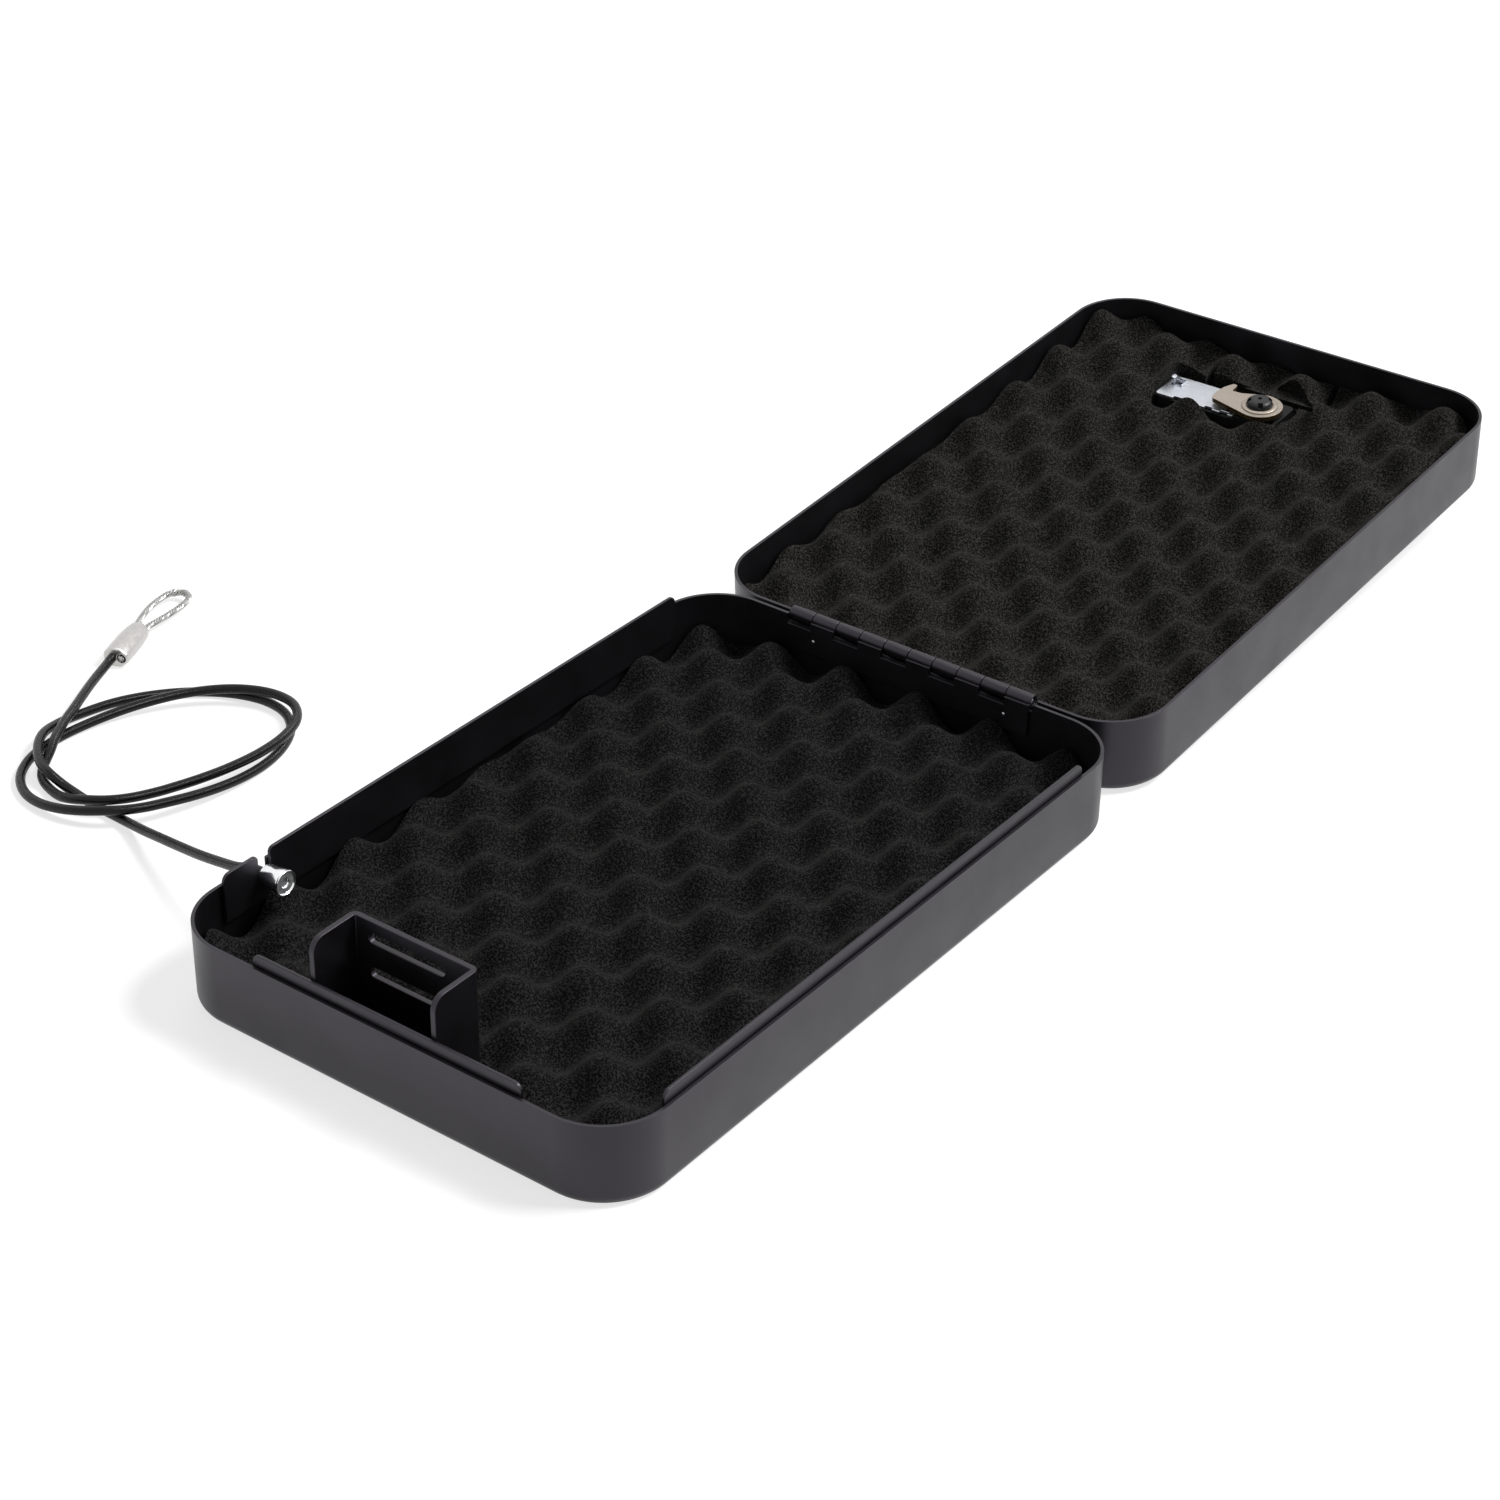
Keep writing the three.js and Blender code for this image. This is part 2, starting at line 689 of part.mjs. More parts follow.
// ten flats with a shallow groove between each two
function dial(x) {
  const outline = []
  for (let flat = 0; flat < dialFlats; flat += 1) {
    const middle = (flat / dialFlats) * fullTurn
    const half = (dialFlatShare * halfTurn) / dialFlats
    for (const angle of [middle - half, middle + half]) {
      outline.push(new THREE.Vector2(dialRadius * Math.cos(angle), dialRadius * Math.sin(angle)))
    }
    const groove = middle + halfTurn / dialFlats
    const bottom = dialRadius - dialNotch
    outline.push(new THREE.Vector2(bottom * Math.cos(groove), bottom * Math.sin(groove)))
  }
  const options = { depth: dialWidth, bevelEnabled: false }
  const geometry = new THREE.ExtrudeGeometry(new THREE.Shape(outline), options)
  geometry.translate(0, 0, -dialWidth / 2).rotateY(quarterTurn).translate(x, dialY, dialZ)
  const bore = [x - dialWidth / 2 - overrun, x + dialWidth / 2 + overrun]
  return cut(toSolid(geometry), lyingRod(sleeveRadius + seatGap, bore, dialY, dialZ))
}

// the sleeve inside a dial, with the gated collar that stands between two dials
function gateSleeve(x) {
  const start = x - dialWidth / 2
  const collarMiddle = x + dialPitch / 2
  const collar = [collarMiddle - collarWidth / 2, collarMiddle + collarWidth / 2]
  const tube = lyingRod(sleeveRadius, [start, collar[1]], dialY, dialZ)
  const bore = lyingRod(axleRadius + seatGap, [start - overrun, collar[1] + overrun], dialY, dialZ)
  const gate = block(
    [collar[0] - overrun / 2, collar[1] + overrun],
    [dialY + collarRadius - gateDepth, dialY + collarRadius + overrun],
    [dialZ - gateWidth / 2, dialZ + gateWidth / 2],
  )
  return cut(join(tube, lyingRod(collarRadius, collar, dialY, dialZ)), bore, gate)
}

function dialAxle() {
  return lyingRod(axleRadius, [cavityX[0] - axleSeat, cavityX[1] + axleSeat], dialY, dialZ)
}

// the bar whose fingers drop into the three gates as the knob turns
function lockingBar() {
  const bar = block(
    [cavityX[0] + seatGap, spindleX + spindleRadius - seatGap],
    [barY, barY + barSheet],
    barZ,
  )
  const fingers = dialX.map((x) => block(
    [x + dialPitch / 2 - barFinger / 2, x + dialPitch / 2 + barFinger / 2],
    [dialY + collarRadius + seatGap, barY + barSheet],
    barZ,
  ))
  const foot = block(
    [spindleX - spindleRadius + seatGap, spindleX + spindleRadius - seatGap],
    [spindleY + spindleRadius + seatGap, barY + barSheet],
    barZ,
  )
  return join(bar, ...fingers, foot)
}

// a strip of spring steel along the dials with one finger for each
function detentSpring() {
  const floor = caseEnd - caseFloor - seatGap
  const strip = block(
    [cavityX[0] + seatGap, cavityX[1] - seatGap],
    [cavityY[0] + seatGap, cavityY[0] + seatGap + springSheet],
    [floor - springDepth, floor],
  )
  const fingers = dialX.map((x) => block(
    [x - dialWidth / 4, x + dialWidth / 4],
    [cavityY[0] + seatGap, cavityY[0] + seatGap + springSheet + fingerReach],
    [floor - springDepth + springSheet, floor - springDepth + 2 * springSheet],
  ))
  return join(strip, ...fingers)
}

function lockScrew([x, y]) {
  const headZ = [caseEnd - screwHeadDepth - seatGap, caseEnd - seatGap]
  const shankZ = [bezelZ[0] + bezelSheet / 2, headZ[0] + seatGap]
  const slot = block(
    [x - screwHeadRadius - overrun, x + screwHeadRadius + overrun],
    [y - screwRadius / 4, y + screwRadius / 4],
    [headZ[1] - screwHeadDepth / 2, headZ[1] + overrun],
  )
  return cut(join(rod(screwHeadRadius, x, y, headZ), rod(screwRadius, x, y, shankZ, arcSteps)), slot)
}

// the stack that turns with the knob: washer, cam and cap on the spindle
const washerZ = [camDepth - seatGap - washerSheet, camDepth - seatGap]
const camZ = [camDepth, camDepth + camSheet]
const capZ = [camZ[1] + seatGap, camZ[1] + seatGap + capHeight]
const knobZ = [bezelZ[0] - seatGap - knobHeight, bezelZ[0] - seatGap]

function spindle() {
  const square = block(
    [spindleX - squareSide / 2, spindleX + squareSide / 2],
    [spindleY - squareSide / 2, spindleY + squareSide / 2],
    [washerZ[1], camZ[1]],
  )
  return join(
    rod(spindleRadius, spindleX, spindleY, [knobZ[1] - knobSocket + seatGap, washerZ[1]]),
    square,
    rod(stubRadius, spindleX, spindleY, [washerZ[1], capZ[1] - capWall - seatGap]),
  )
}

function ring(outerRadius, innerRadius, z) {
  const hole = rod(innerRadius, spindleX, spindleY, [z[0] - overrun, z[1] + overrun])
  return cut(rod(outerRadius, spindleX, spindleY, z), hole)
}

function hookCam() {
  const end = camReach - camHalfWidth / 2
  const hookRoot = camReach - camHalfWidth + seatGap
  const hookTip = camHalfWidth / 4
  const shape = new THREE.Shape()
  shape.absarc(0, 0, camEndRadius, quarterTurn * camArcShares[0], quarterTurn * camArcShares[1], true)
  shape.lineTo(-end, -camHalfWidth)
  shape.quadraticCurveTo(-camReach, -camHalfWidth, -camReach, 0)
  shape.quadraticCurveTo(-camReach, camHalfWidth, -end - hookTip, camHalfWidth + camHalfWidth / 2)
  shape.lineTo(-camHookReach - hookTip, camHookRise - hookTip)
  shape.absarc(-camHookReach, camHookRise - hookTip, hookTip, halfTurn, 0, true)
  shape.lineTo(-hookRoot, camHalfWidth)
  shape.lineTo(-camNeckReach, camNeckRise)
  shape.closePath()
  const cam = slab(shape, camZ, arcSteps).translate([spindleX, spindleY, 0])
  const hole = squareSide / 2 + seatGap
  const square = block(
    [spindleX - hole, spindleX + hole],
    [spindleY - hole, spindleY + hole],
    [camZ[0] - overrun, camZ[1] + overrun],
  )
  const raised = ring(camRingRadius, capRadius + seatGap, [camZ[1] - seatGap, camZ[1] + camRingRise])
  return cut(join(cam, raised), square)
}

function camCap() {
  const socket = rod(stubRadius + seatGap, spindleX, spindleY, [capZ[0] - overrun, capZ[1] - capWall])
  return cut(rod(capRadius, spindleX, spindleY, capZ), socket)
}

function turnKnob() {
  const profile = [
    [0, knobZ[0]],
    [knobRadius - knobChamfer, knobZ[0]],
    [knobRadius, knobZ[0] + knobChamfer],
    [knobRadius, knobZ[1]],
    [0, knobZ[1]],
  ].map(([radius, z]) => new THREE.Vector2(radius, z))
  const geometry = new THREE.LatheGeometry(profile, roundSides).rotateX(quarterTurn)
  const body = toSolid(geometry.translate(spindleX, spindleY, 0))
  const flutes = Array.from({ length: knobFluteCount }, (_, index) => {
    const angle = ((index + 1 / 2) / knobFluteCount) * fullTurn
    const reach = knobRadius + knobFluteRadius / 2
    const x = spindleX + reach * Math.cos(angle)
    const y = spindleY + reach * Math.sin(angle)
    return rod(knobFluteRadius, x, y, [knobZ[0] - overrun, knobZ[1] - knobHeight / 4], arcSteps)
  })
  const socket = rod(spindleBore, spindleX, spindleY, [knobZ[1] - knobSocket, knobZ[1] + overrun])
  return cut(body, ...flutes, socket)
}

// the cable

function stopSolid() {
  const face = stopLength
  const profile = [
    [0, 0],
    [stopNeckRadius, 0],
    [stopFaceRadius, face - stopRim],
    [stopFaceRadius, face],
    [stopFaceRadius - stopRim, face],
    [stopFaceRadius - stopRim, face - stopRecess],
    [stopDimpleRadius, face - stopRecess],
    [stopDimpleRadius, face - stopDimpleDepth],
    [0, face - stopDimpleDepth],
  ].map(([radius, height]) => new THREE.Vector2(radius, height))
  const geometry = new THREE.LatheGeometry(profile, roundSides).rotateZ(-quarterTurn)
  return toSolid(geometry.translate(stopX, cableY, cableExitHeight))
}

const stopX = seatGap + stripSheet + seatGap - innerX

// the two piled turns: an oval that shifts, leans and narrows as it winds, and whose corners soften
const loopCentre = new THREE.Vector2(-196.5, -40)
const loopShift = new THREE.Vector2(3.4, -4.5)
const loopAcross = [41.8, -8.6]
const loopAlong = [47.6, -0.4]
const loopLean = [6.5, -4.2]
const loopCornerAcross = { cosine: [-2.2, -5.1], sine: [2.7, -2.8] }
const loopCornerAlong = { cosine: [-4, -1], sine: [2.7, -9.8] }
const loopStart = THREE.MathUtils.degToRad(-119)
const loopRange = [0.03, 1.68]
const cableLow = 1.8
const cableHigh = 6.05
// where along the turns the cable comes down to the surface, and where it climbs onto a turn below
const loopFallShares = [[0.08, 0.2], [0.83, 1.03]]
const loopClimbShares = [[0.55, 0.76], [1.15, 1.31]]

function loopHeight(turn) {
  const passed = (shares) => (
    shares.reduce((sum, [from, to]) => sum + THREE.MathUtils.smoothstep(turn, from, to), 0)
  )
  return cableHigh + (cableHigh - cableLow) * (passed(loopClimbShares) - passed(loopFallShares))
}

function loopPoint(turn) {
  const angle = loopStart - turn * fullTurn
  const cosine = Math.cos(angle)
  const sine = Math.sin(angle)
  const grown = ([first, change]) => first + change * turn
  const corner = (shares) => (
    grown(shares.cosine) * Math.cos(2 * angle) + grown(shares.sine) * Math.sin(2 * angle)
  )
  const across = grown(loopAcross) * cosine + loopLean[0] * turn * sine + corner(loopCornerAcross)
  const along = grown(loopAlong) * sine + loopLean[1] * turn * cosine + corner(loopCornerAlong)
  return new THREE.Vector3(
    loopCentre.x + loopShift.x * turn + across,
    loopCentre.y + loopShift.y * turn + along,
    loopHeight(turn),
  )
}

const loopCount = Math.round((loopRange[1] - loopRange[0]) * loopStepsPerTurn)
const turnPoints = Array.from(
  { length: loopCount + 1 },
  (_, step) => loopPoint(THREE.MathUtils.lerp(loopRange[0], loopRange[1], step / loopCount)),
)
const loopsIn = turnPoints[0].clone().sub(turnPoints[1]).setZ(0).normalize()
const loopsOut = turnPoints[loopCount].clone().sub(turnPoints[loopCount - 1]).setZ(0).normalize()
const beyond = (point, direction, distance) => point.clone().addScaledVector(direction, distance)
const loopsFrom = beyond(turnPoints[0], loopsIn, cableDiameter / 2)
const loopsTo = beyond(turnPoints[loopCount], loopsOut, cableDiameter / 2)
const loopRoute = [loopsFrom, ...turnPoints, loopsTo]

const leadRoute = [
  new THREE.Vector3(stopX - seatGap, cableY, cableExitHeight),
  new THREE.Vector3(-93, -95.6, 25.4),
  new THREE.Vector3(-98, -95.3, 24),
  new THREE.Vector3(-103.1, -94.8, 22),
  new THREE.Vector3(-112.3, -93.1, 19.2),
  new THREE.Vector3(-124.4, -90.5, 15.6),
  new THREE.Vector3(-137.4, -87.2, 11.9),
  new THREE.Vector3(-150.6, -83.9, 8.4),
  new THREE.Vector3(-161.7, -80.8, 5.2),
  new THREE.Vector3(-172.8, -77.9, 2.6),
  new THREE.Vector3(-181.8, -76.8, cableLow),
  new THREE.Vector3(-190.9, -76.5, cableLow),
  new THREE.Vector3(-196.5, -75.9, cableLow),
  new THREE.Vector3(-200.5, -75.5, 2),
  new THREE.Vector3(-207.1, -75.5, 3.2),
  new THREE.Vector3(-213.2, -75.7, 5.5),
  beyond(loopsFrom, loopsIn, seatGap + cableDiameter / 2),
  beyond(loopsFrom, loopsIn, seatGap),
]

const tailRoute = [
  beyond(loopsTo, loopsOut, seatGap),
  beyond(loopsTo, loopsOut, seatGap + cableDiameter / 2),
  new THREE.Vector3(-179.4, -70.1, 6),
  new THREE.Vector3(-184.9, -76.1, 5.9),
  new THREE.Vector3(-192.9, -80, 5),
  new THREE.Vector3(-198.5, -81.1, 3.8),
  new THREE.Vector3(-203.8, -80.6, 2.6),
  new THREE.Vector3(-210.5, -78.7, cableLow),
  new THREE.Vector3(-215.3, -76.9, cableLow),
  new THREE.Vector3(-219.4, -74.2, cableLow),
  new THREE.Vector3(-223, -70.1, 2),
  new THREE.Vector3(-224.4, -67.2, 3.1),
  new THREE.Vector3(-225.5, -64.2, 4.7),
  new THREE.Vector3(-228.1, -59.8, 5.9),
  new THREE.Vector3(-231.9, -53.5, 6.1),
  new THREE.Vector3(-235.3, -47.2, 6.1),
  new THREE.Vector3(-238.1, -41.3, 6.1),
  new THREE.Vector3(-245.6, -27.4, 5.4),
  new THREE.Vector3(-249.6, -19.8, 4.8),
  new THREE.Vector3(-253.0, -12.6, 4.4),
]

const ferruleFrom = new THREE.Vector3(-255.5, -4.3, ferruleHeight / 2 + seatGap)
const ferruleTo = new THREE.Vector3(-264.1, 16.5, ferruleHeight / 2 + seatGap)
const ferruleRun = ferruleTo.clone().sub(ferruleFrom).normalize()
const ferruleSide = new THREE.Vector3(ferruleRun.y, -ferruleRun.x, 0)
const strandSpread = ferruleWidth / 4
tailRoute.push(
  beyond(ferruleFrom, ferruleSide, -strandSpread / 2).addScaledVector(ferruleRun, -seatGap - cableDiameter),
  beyond(ferruleFrom, ferruleSide, -strandSpread / 2).addScaledVector(ferruleRun, -seatGap),
)

// a tube of flat-sided section along a smooth curve through the route's points
function tube(route, diameter, sides, steps) {
  const corners = Array.from({ length: sides }, (_, side) => {
    const angle = ((side + 1 / 2) / sides) * fullTurn
    return new THREE.Vector2((diameter / 2) * Math.cos(angle), (diameter / 2) * Math.sin(angle))
  })
  const path = new THREE.CatmullRomCurve3(route, false, 'centripetal')
  const options = { extrudePath: path, steps, bevelEnabled: false }
  return new THREE.ExtrudeGeometry(new THREE.Shape(corners), options)
}

function routeLength(route) {
  return new THREE.CatmullRomCurve3(route, false, 'centripetal').getLength()
}

function cableTube(route) {
  const stepsPerLength = 1 / (2 * cableDiameter)
  return tube(route, cableDiameter, cableSides, Math.round(routeLength(route) * stepsPerLength))
}

function leastGapInLoops() {
  const path = new THREE.CatmullRomCurve3(loopRoute, false, 'centripetal')
  const samples = path.getSpacedPoints(loopCount * samplesPerStep)
  const apart = Math.ceil((4 * cableDiameter) / samples[0].distanceTo(samples[1]))
  let least = Infinity
  for (let first = 0; first < samples.length; first += 1) {
    for (let second = first + apart; second < samples.length; second += 1) {
      least = Math.min(least, samples[first].distanceTo(samples[second]))
    }
  }
  return least - cableDiameter
}

// a pressed sleeve of eight flats that tapers towards the eye
function eyeFerrule() {
  const length = ferruleFrom.distanceTo(ferruleTo)
  const lengthShares = [0, 0.06, 0.62, 0.94, 1]
  const widthShares = [0.9, 1, 1, 0.78, 0.72]
  const rings = lengthShares.map((share, level) => {
    const centre = beyond(ferruleFrom, ferruleRun, length * share)
    return Array.from({ length: ferruleFlats }, (_, corner) => {
      const angle = -((corner + 1 / 2) / ferruleFlats) * fullTurn
      const reach = widthShares[level] / Math.cos(halfTurn / ferruleFlats) / 2
      return beyond(centre, ferruleSide, ferruleWidth * reach * Math.cos(angle))
        .add(new THREE.Vector3(0, 0, ferruleHeight * reach * Math.sin(angle)))
    })
  })
  return stackRings(rings)
}

function eyeLoop() {
  const legs = [-strandSpread, strandSpread].map((spread) => (
    beyond(ferruleTo, ferruleSide, spread).addScaledVector(ferruleRun, seatGap)
  ))
  const route = [
    legs[0],
    beyond(legs[0], ferruleRun, strandDiameter),
    new THREE.Vector3(-270.6, 24, 3.9),
    new THREE.Vector3(-273.9, 31.6, 3.7),
    new THREE.Vector3(-275.4, 37.6, 3.5),
    new THREE.Vector3(-275.9, 43, 3.3),
    new THREE.Vector3(-273.6, 47, 3.2),
    new THREE.Vector3(-269.4, 47, 3.2),
    new THREE.Vector3(-266.6, 43.4, 3.3),
    new THREE.Vector3(-265, 38, 3.5),
    new THREE.Vector3(-264, 32, 3.7),
    new THREE.Vector3(-263.4, 25.6, 3.9),
    beyond(legs[1], ferruleRun, strandDiameter),
    legs[1],
  ]
  return tube(route, strandDiameter, cableSides, eyeSteps)
}

// the object

const finishes = {
  powderCoat: { color: 0x3b383c, roughness: 0.55, metalness: 0.3 },
  foam: { color: 0x26262a, roughness: 0.95, metalness: 0 },
  zinc: { color: 0xc9cdd4, roughness: 0.3, metalness: 0.9 },
  nickel: { color: 0xb9aca3, roughness: 0.35, metalness: 0.9 },
  steel: { color: 0xa9abb0, roughness: 0.3, metalness: 0.9 },
  chrome: { color: 0xd8dade, roughness: 0.12, metalness: 1 },
  aluminium: { color: 0xb8babd, roughness: 0.4, metalness: 0.9 },
  castZinc: { color: 0x202022, roughness: 0.5, metalness: 0.4 },
  blackPlastic: { color: 0x1c1c1e, roughness: 0.45, metalness: 0 },
  brass: { color: 0xb08d4a, roughness: 0.35, metalness: 0.9 },
  cableCoat: { color: 0x0e0e10, roughness: 0.22, metalness: 0 },
}

function place(group, name, finish, shape) {
  const geometry = shape.isBufferGeometry ? shape : toGeometry(shape)
  const mesh = new THREE.Mesh(geometry, new THREE.MeshStandardMaterial(finishes[finish]))
  mesh.name = name
  group.add(mesh)
}

const safe = new THREE.Group()
const base = new THREE.Group()
const lid = new THREE.Group()
safe.add(base, lid)

place(base, 'base_tray', 'powderCoat', cut(pressedShell(), hingeNotch(1), cableNotch()))
place(base, 'front_lip_strip', 'powderCoat', frontStrip())
place(base, 'right_lip_strip', 'powderCoat', sideStrip(1, rightStripInsets))
place(base, 'left_lip_strip', 'powderCoat', cut(sideStrip(-1, leftStripInsets), cableNotch()))
place(base, 'latch_bracket', 'powderCoat', latchBracket())
place(base, 'base_foam', 'foam', baseFoam())
place(base, 'hinge_base_leaf', 'powderCoat', hingeLeaf(1, 1))
place(base, 'hinge_pin', 'steel', hingePin())
place(base, 'cable_stop', 'chrome', stopSolid())
place(base, 'cable_lead', 'cableCoat', cableTube(leadRoute))
place(base, 'cable_loops', 'cableCoat', tube(loopRoute, cableDiameter, loopSides, loopRoute.length - 1))
place(base, 'cable_tail', 'cableCoat', cableTube(tailRoute))
place(base, 'eye_ferrule', 'aluminium', eyeFerrule())
place(base, 'eye_loop', 'steel', eyeLoop())

place(lid, 'lid_tray', 'powderCoat', cut(pressedShell(), hingeNotch(-1), ...lidOpenings()))
place(lid, 'hinge_lid_leaf', 'powderCoat', hingeLeaf(-1, 0))
place(lid, 'lid_foam', 'foam', lidFoam())
place(lid, 'lock_bezel', 'castZinc', lockBezel())
place(lid, 'lock_case', 'castZinc', lockCase())
place(lid, 'lock_cover_plate', 'zinc', coverPlate())
dialX.forEach((x, index) => {
  place(lid, `dial_${index + 1}`, 'blackPlastic', dial(x))
  place(lid, `gate_sleeve_${index + 1}`, 'brass', gateSleeve(x))
})
place(lid, 'dial_axle', 'steel', dialAxle())
place(lid, 'locking_bar', 'steel', lockingBar())
place(lid, 'detent_spring', 'steel', detentSpring())
screwPlaces.forEach((spot, index) => place(lid, `lock_screw_${index + 1}`, 'steel', lockScrew(spot)))
place(lid, 'code_slider', 'zinc', codeSlider())
place(lid, 'turn_knob', 'blackPlastic', turnKnob())
place(lid, 'knob_spindle', 'steel', spindle())
place(lid, 'cam_washer', 'steel', ring(washerRadius, spindleBore, washerZ))
place(lid, 'hook_cam', 'nickel', hookCam())
place(lid, 'cam_cap', 'blackPlastic', camCap())

// the open lid leans on the hinge-side edge of its knob, which touches the surface
const edgeReach = hingeY + spindleY - knobRadius + knobChamfer
const edgeDrop = hingeZ - knobZ[0]
const lidTilt = Math.atan2(edgeDrop, edgeReach) - Math.asin(hingeZ / Math.hypot(edgeDrop, edgeReach))
const hinged = new THREE.Group()
hinged.position.set(0, hingeY, hingeZ)
hinged.rotation.x = lidTilt
lid.position.set(0, hingeY, -hingeZ)
hinged.add(lid)
safe.add(hinged)

console.log('lid opens by', 180 - THREE.MathUtils.radToDeg(lidTilt), 'degrees')
console.log('least gap between the turns of cable', leastGapInLoops(), 'mm')
console.log('coated cable', routeLength(leadRoute) + routeLength(loopRoute) + routeLength(tailRoute), 'mm')

export default safe
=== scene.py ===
import json
import math

import bmesh
import bpy
from mathutils import Matrix, Vector, noise


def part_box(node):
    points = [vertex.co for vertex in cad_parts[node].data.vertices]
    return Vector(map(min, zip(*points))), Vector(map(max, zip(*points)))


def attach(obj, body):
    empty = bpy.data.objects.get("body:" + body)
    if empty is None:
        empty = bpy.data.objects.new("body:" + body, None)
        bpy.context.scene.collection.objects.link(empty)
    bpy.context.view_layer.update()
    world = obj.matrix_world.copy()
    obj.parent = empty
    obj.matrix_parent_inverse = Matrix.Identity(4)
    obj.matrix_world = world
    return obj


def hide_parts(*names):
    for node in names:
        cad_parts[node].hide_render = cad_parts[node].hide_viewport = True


# Portable car safe, open and flat. Metres, +Z up, the base's underside centred on the origin.
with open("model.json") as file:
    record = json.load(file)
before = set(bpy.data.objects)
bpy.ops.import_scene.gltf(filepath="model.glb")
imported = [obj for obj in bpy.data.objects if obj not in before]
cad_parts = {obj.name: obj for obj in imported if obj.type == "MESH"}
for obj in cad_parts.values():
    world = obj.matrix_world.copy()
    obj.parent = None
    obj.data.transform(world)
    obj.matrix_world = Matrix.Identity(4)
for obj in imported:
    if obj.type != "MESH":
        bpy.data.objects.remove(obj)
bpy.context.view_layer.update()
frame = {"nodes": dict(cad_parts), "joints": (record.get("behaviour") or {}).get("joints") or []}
joints = {joint["name"]: joint for joint in frame["joints"]}
mm = 0.001
quarterTurn = math.pi / 2
fullTurn = math.pi * 2
seatGap = 0.3 * mm  # between two pieces that meet
cutPast = mm  # how far a cutter runs past what it cuts
longCut = 9 * mm  # half the length of a bore's cutter
farUp = 40 * mm  # above everything in either shell

# the open lid's own frame: outer face down at z = 0, hinge towards -Y, the same size as the base
hingeAt = Vector((0, joints["lid_hinge"]["pos_m"][1], joints["lid_hinge"]["pos_m"][2]))
lidTilt = math.pi - math.radians(joints["lid_hinge"]["range_deg"][1])
lidPlace = (
    Matrix.Translation(hingeAt)
    @ Matrix.Rotation(lidTilt, 4, "X")
    @ Matrix.Translation((0, hingeAt.y, -hingeAt.z))
)
lidInverse = lidPlace.inverted()


def lidBox(node):
    corners = [lidInverse @ vertex.co for vertex in frame["nodes"][node].data.vertices]
    low = Vector([min(corner[axis] for corner in corners) for axis in range(3)])
    high = Vector([max(corner[axis] for corner in corners) for axis in range(3)])
    return low, high


def lidMiddle(node):
    low, high = lidBox(node)
    return (low + high) / 2


spindleLow, spindleHigh = lidBox("knob_spindle")
spindleAt = lidMiddle("knob_spindle")  # the knob's axis, in the lid's own frame
spindleBore = (spindleHigh.x - spindleLow.x) / 2 + seatGap


# camera, as the photograph was taken

cameraSettings = {
    "place": (0.5560, -0.7072, 0.6178),
    "azimuth": 36.466,
    "elevation": 31.814,
    "roll": 0.789,
    "lens": 78.88,
    "sensor": 36.0,
}


def addCamera(settings):
    azimuth = math.radians(settings["azimuth"])
    elevation = math.radians(settings["elevation"])
    roll = math.radians(settings["roll"])
    ahead = Vector((
        -math.sin(azimuth) * math.cos(elevation),
        math.cos(azimuth) * math.cos(elevation),
        -math.sin(elevation),
    ))
    right = ahead.cross(Vector((0, 0, 1))).normalized()
    up = right.cross(ahead)
    across = right * math.cos(roll) + up * math.sin(roll)
    upright = up * math.cos(roll) - right * math.sin(roll)
    turn = Matrix((across, upright, -ahead)).transposed().to_4x4()
    lens = bpy.data.cameras.new("photoCamera")
    lens.lens = settings["lens"]
    lens.sensor_width = settings["sensor"]
    lens.clip_start = 0.01
    camera = bpy.data.objects.new("photoCamera", lens)
    camera.matrix_world = Matrix.Translation(settings["place"]) @ turn
    bpy.context.scene.collection.objects.link(camera)
    bpy.context.scene.camera = camera


addCamera(cameraSettings)
print("camera placed")


# small mesh tools

mergeDistance = 0.002 * mm
axisRadius = 0.0005 * mm  # a turned end closes to this on its axis
roundingAngle = math.radians(38)  # edges sharper than this are rounded


def meshFrom(name, points, faces):
    mesh = bpy.data.meshes.new(name)
    mesh.from_pydata([tuple(point) for point in points], [], faces)
    clean(mesh)
    return mesh


def clean(mesh):
    work = bmesh.new()
    work.from_mesh(mesh)
    bmesh.ops.remove_doubles(work, verts=work.verts, dist=mergeDistance)
    bmesh.ops.dissolve_degenerate(work, dist=mergeDistance, edges=work.edges)
    bmesh.ops.recalc_face_normals(work, faces=work.faces)
    work.to_mesh(mesh)
    work.free()


def softEdges(mesh, sharpest=35):
    mesh.shade_smooth()
    mesh.set_sharp_from_angle(angle=math.radians(sharpest))


def ringSkin(name, rings, closed=False):  # rings of equal count, with a face over each end
    count = len(rings[0])
    points = [point for ring in rings for point in ring]
    faces = []
    for level in range(len(rings) if closed else len(rings) - 1):
        here = level * count
        above = ((level + 1) % len(rings)) * count
        for step in range(count):
            beside = (step + 1) % count
            faces.append((here + step, here + beside, above + beside, above + step))
    if not closed:
        faces.append(tuple(reversed(range(count))))
        faces.append(tuple(range((len(rings) - 1) * count, len(rings) * count)))
    return meshFrom(name, points, faces)


def circle(radius, height, segments):
    return [
        Vector((
            radius * math.cos(fullTurn * step / segments),
            radius * math.sin(fullTurn * step / segments),
            height,
        ))
        for step in range(segments)
    ]


def turned(name, profile, segments):  # (radius, height) pairs about Z, axis ends at radius 0
    return ringSkin(name, [circle(max(radius, axisRadius), height, segments) for radius, height in profile])


def turnedRing(name, profile, segments):  # the same for a closed section that leaves a bore
    return ringSkin(name, [circle(radius, height, segments) for radius, height in profile], closed=True)


def plug(name, radius, low, high, segments):  # a plain round bar along Z
    return turned(name, [(0, low), (radius, low), (radius, high), (0, high)], segments)


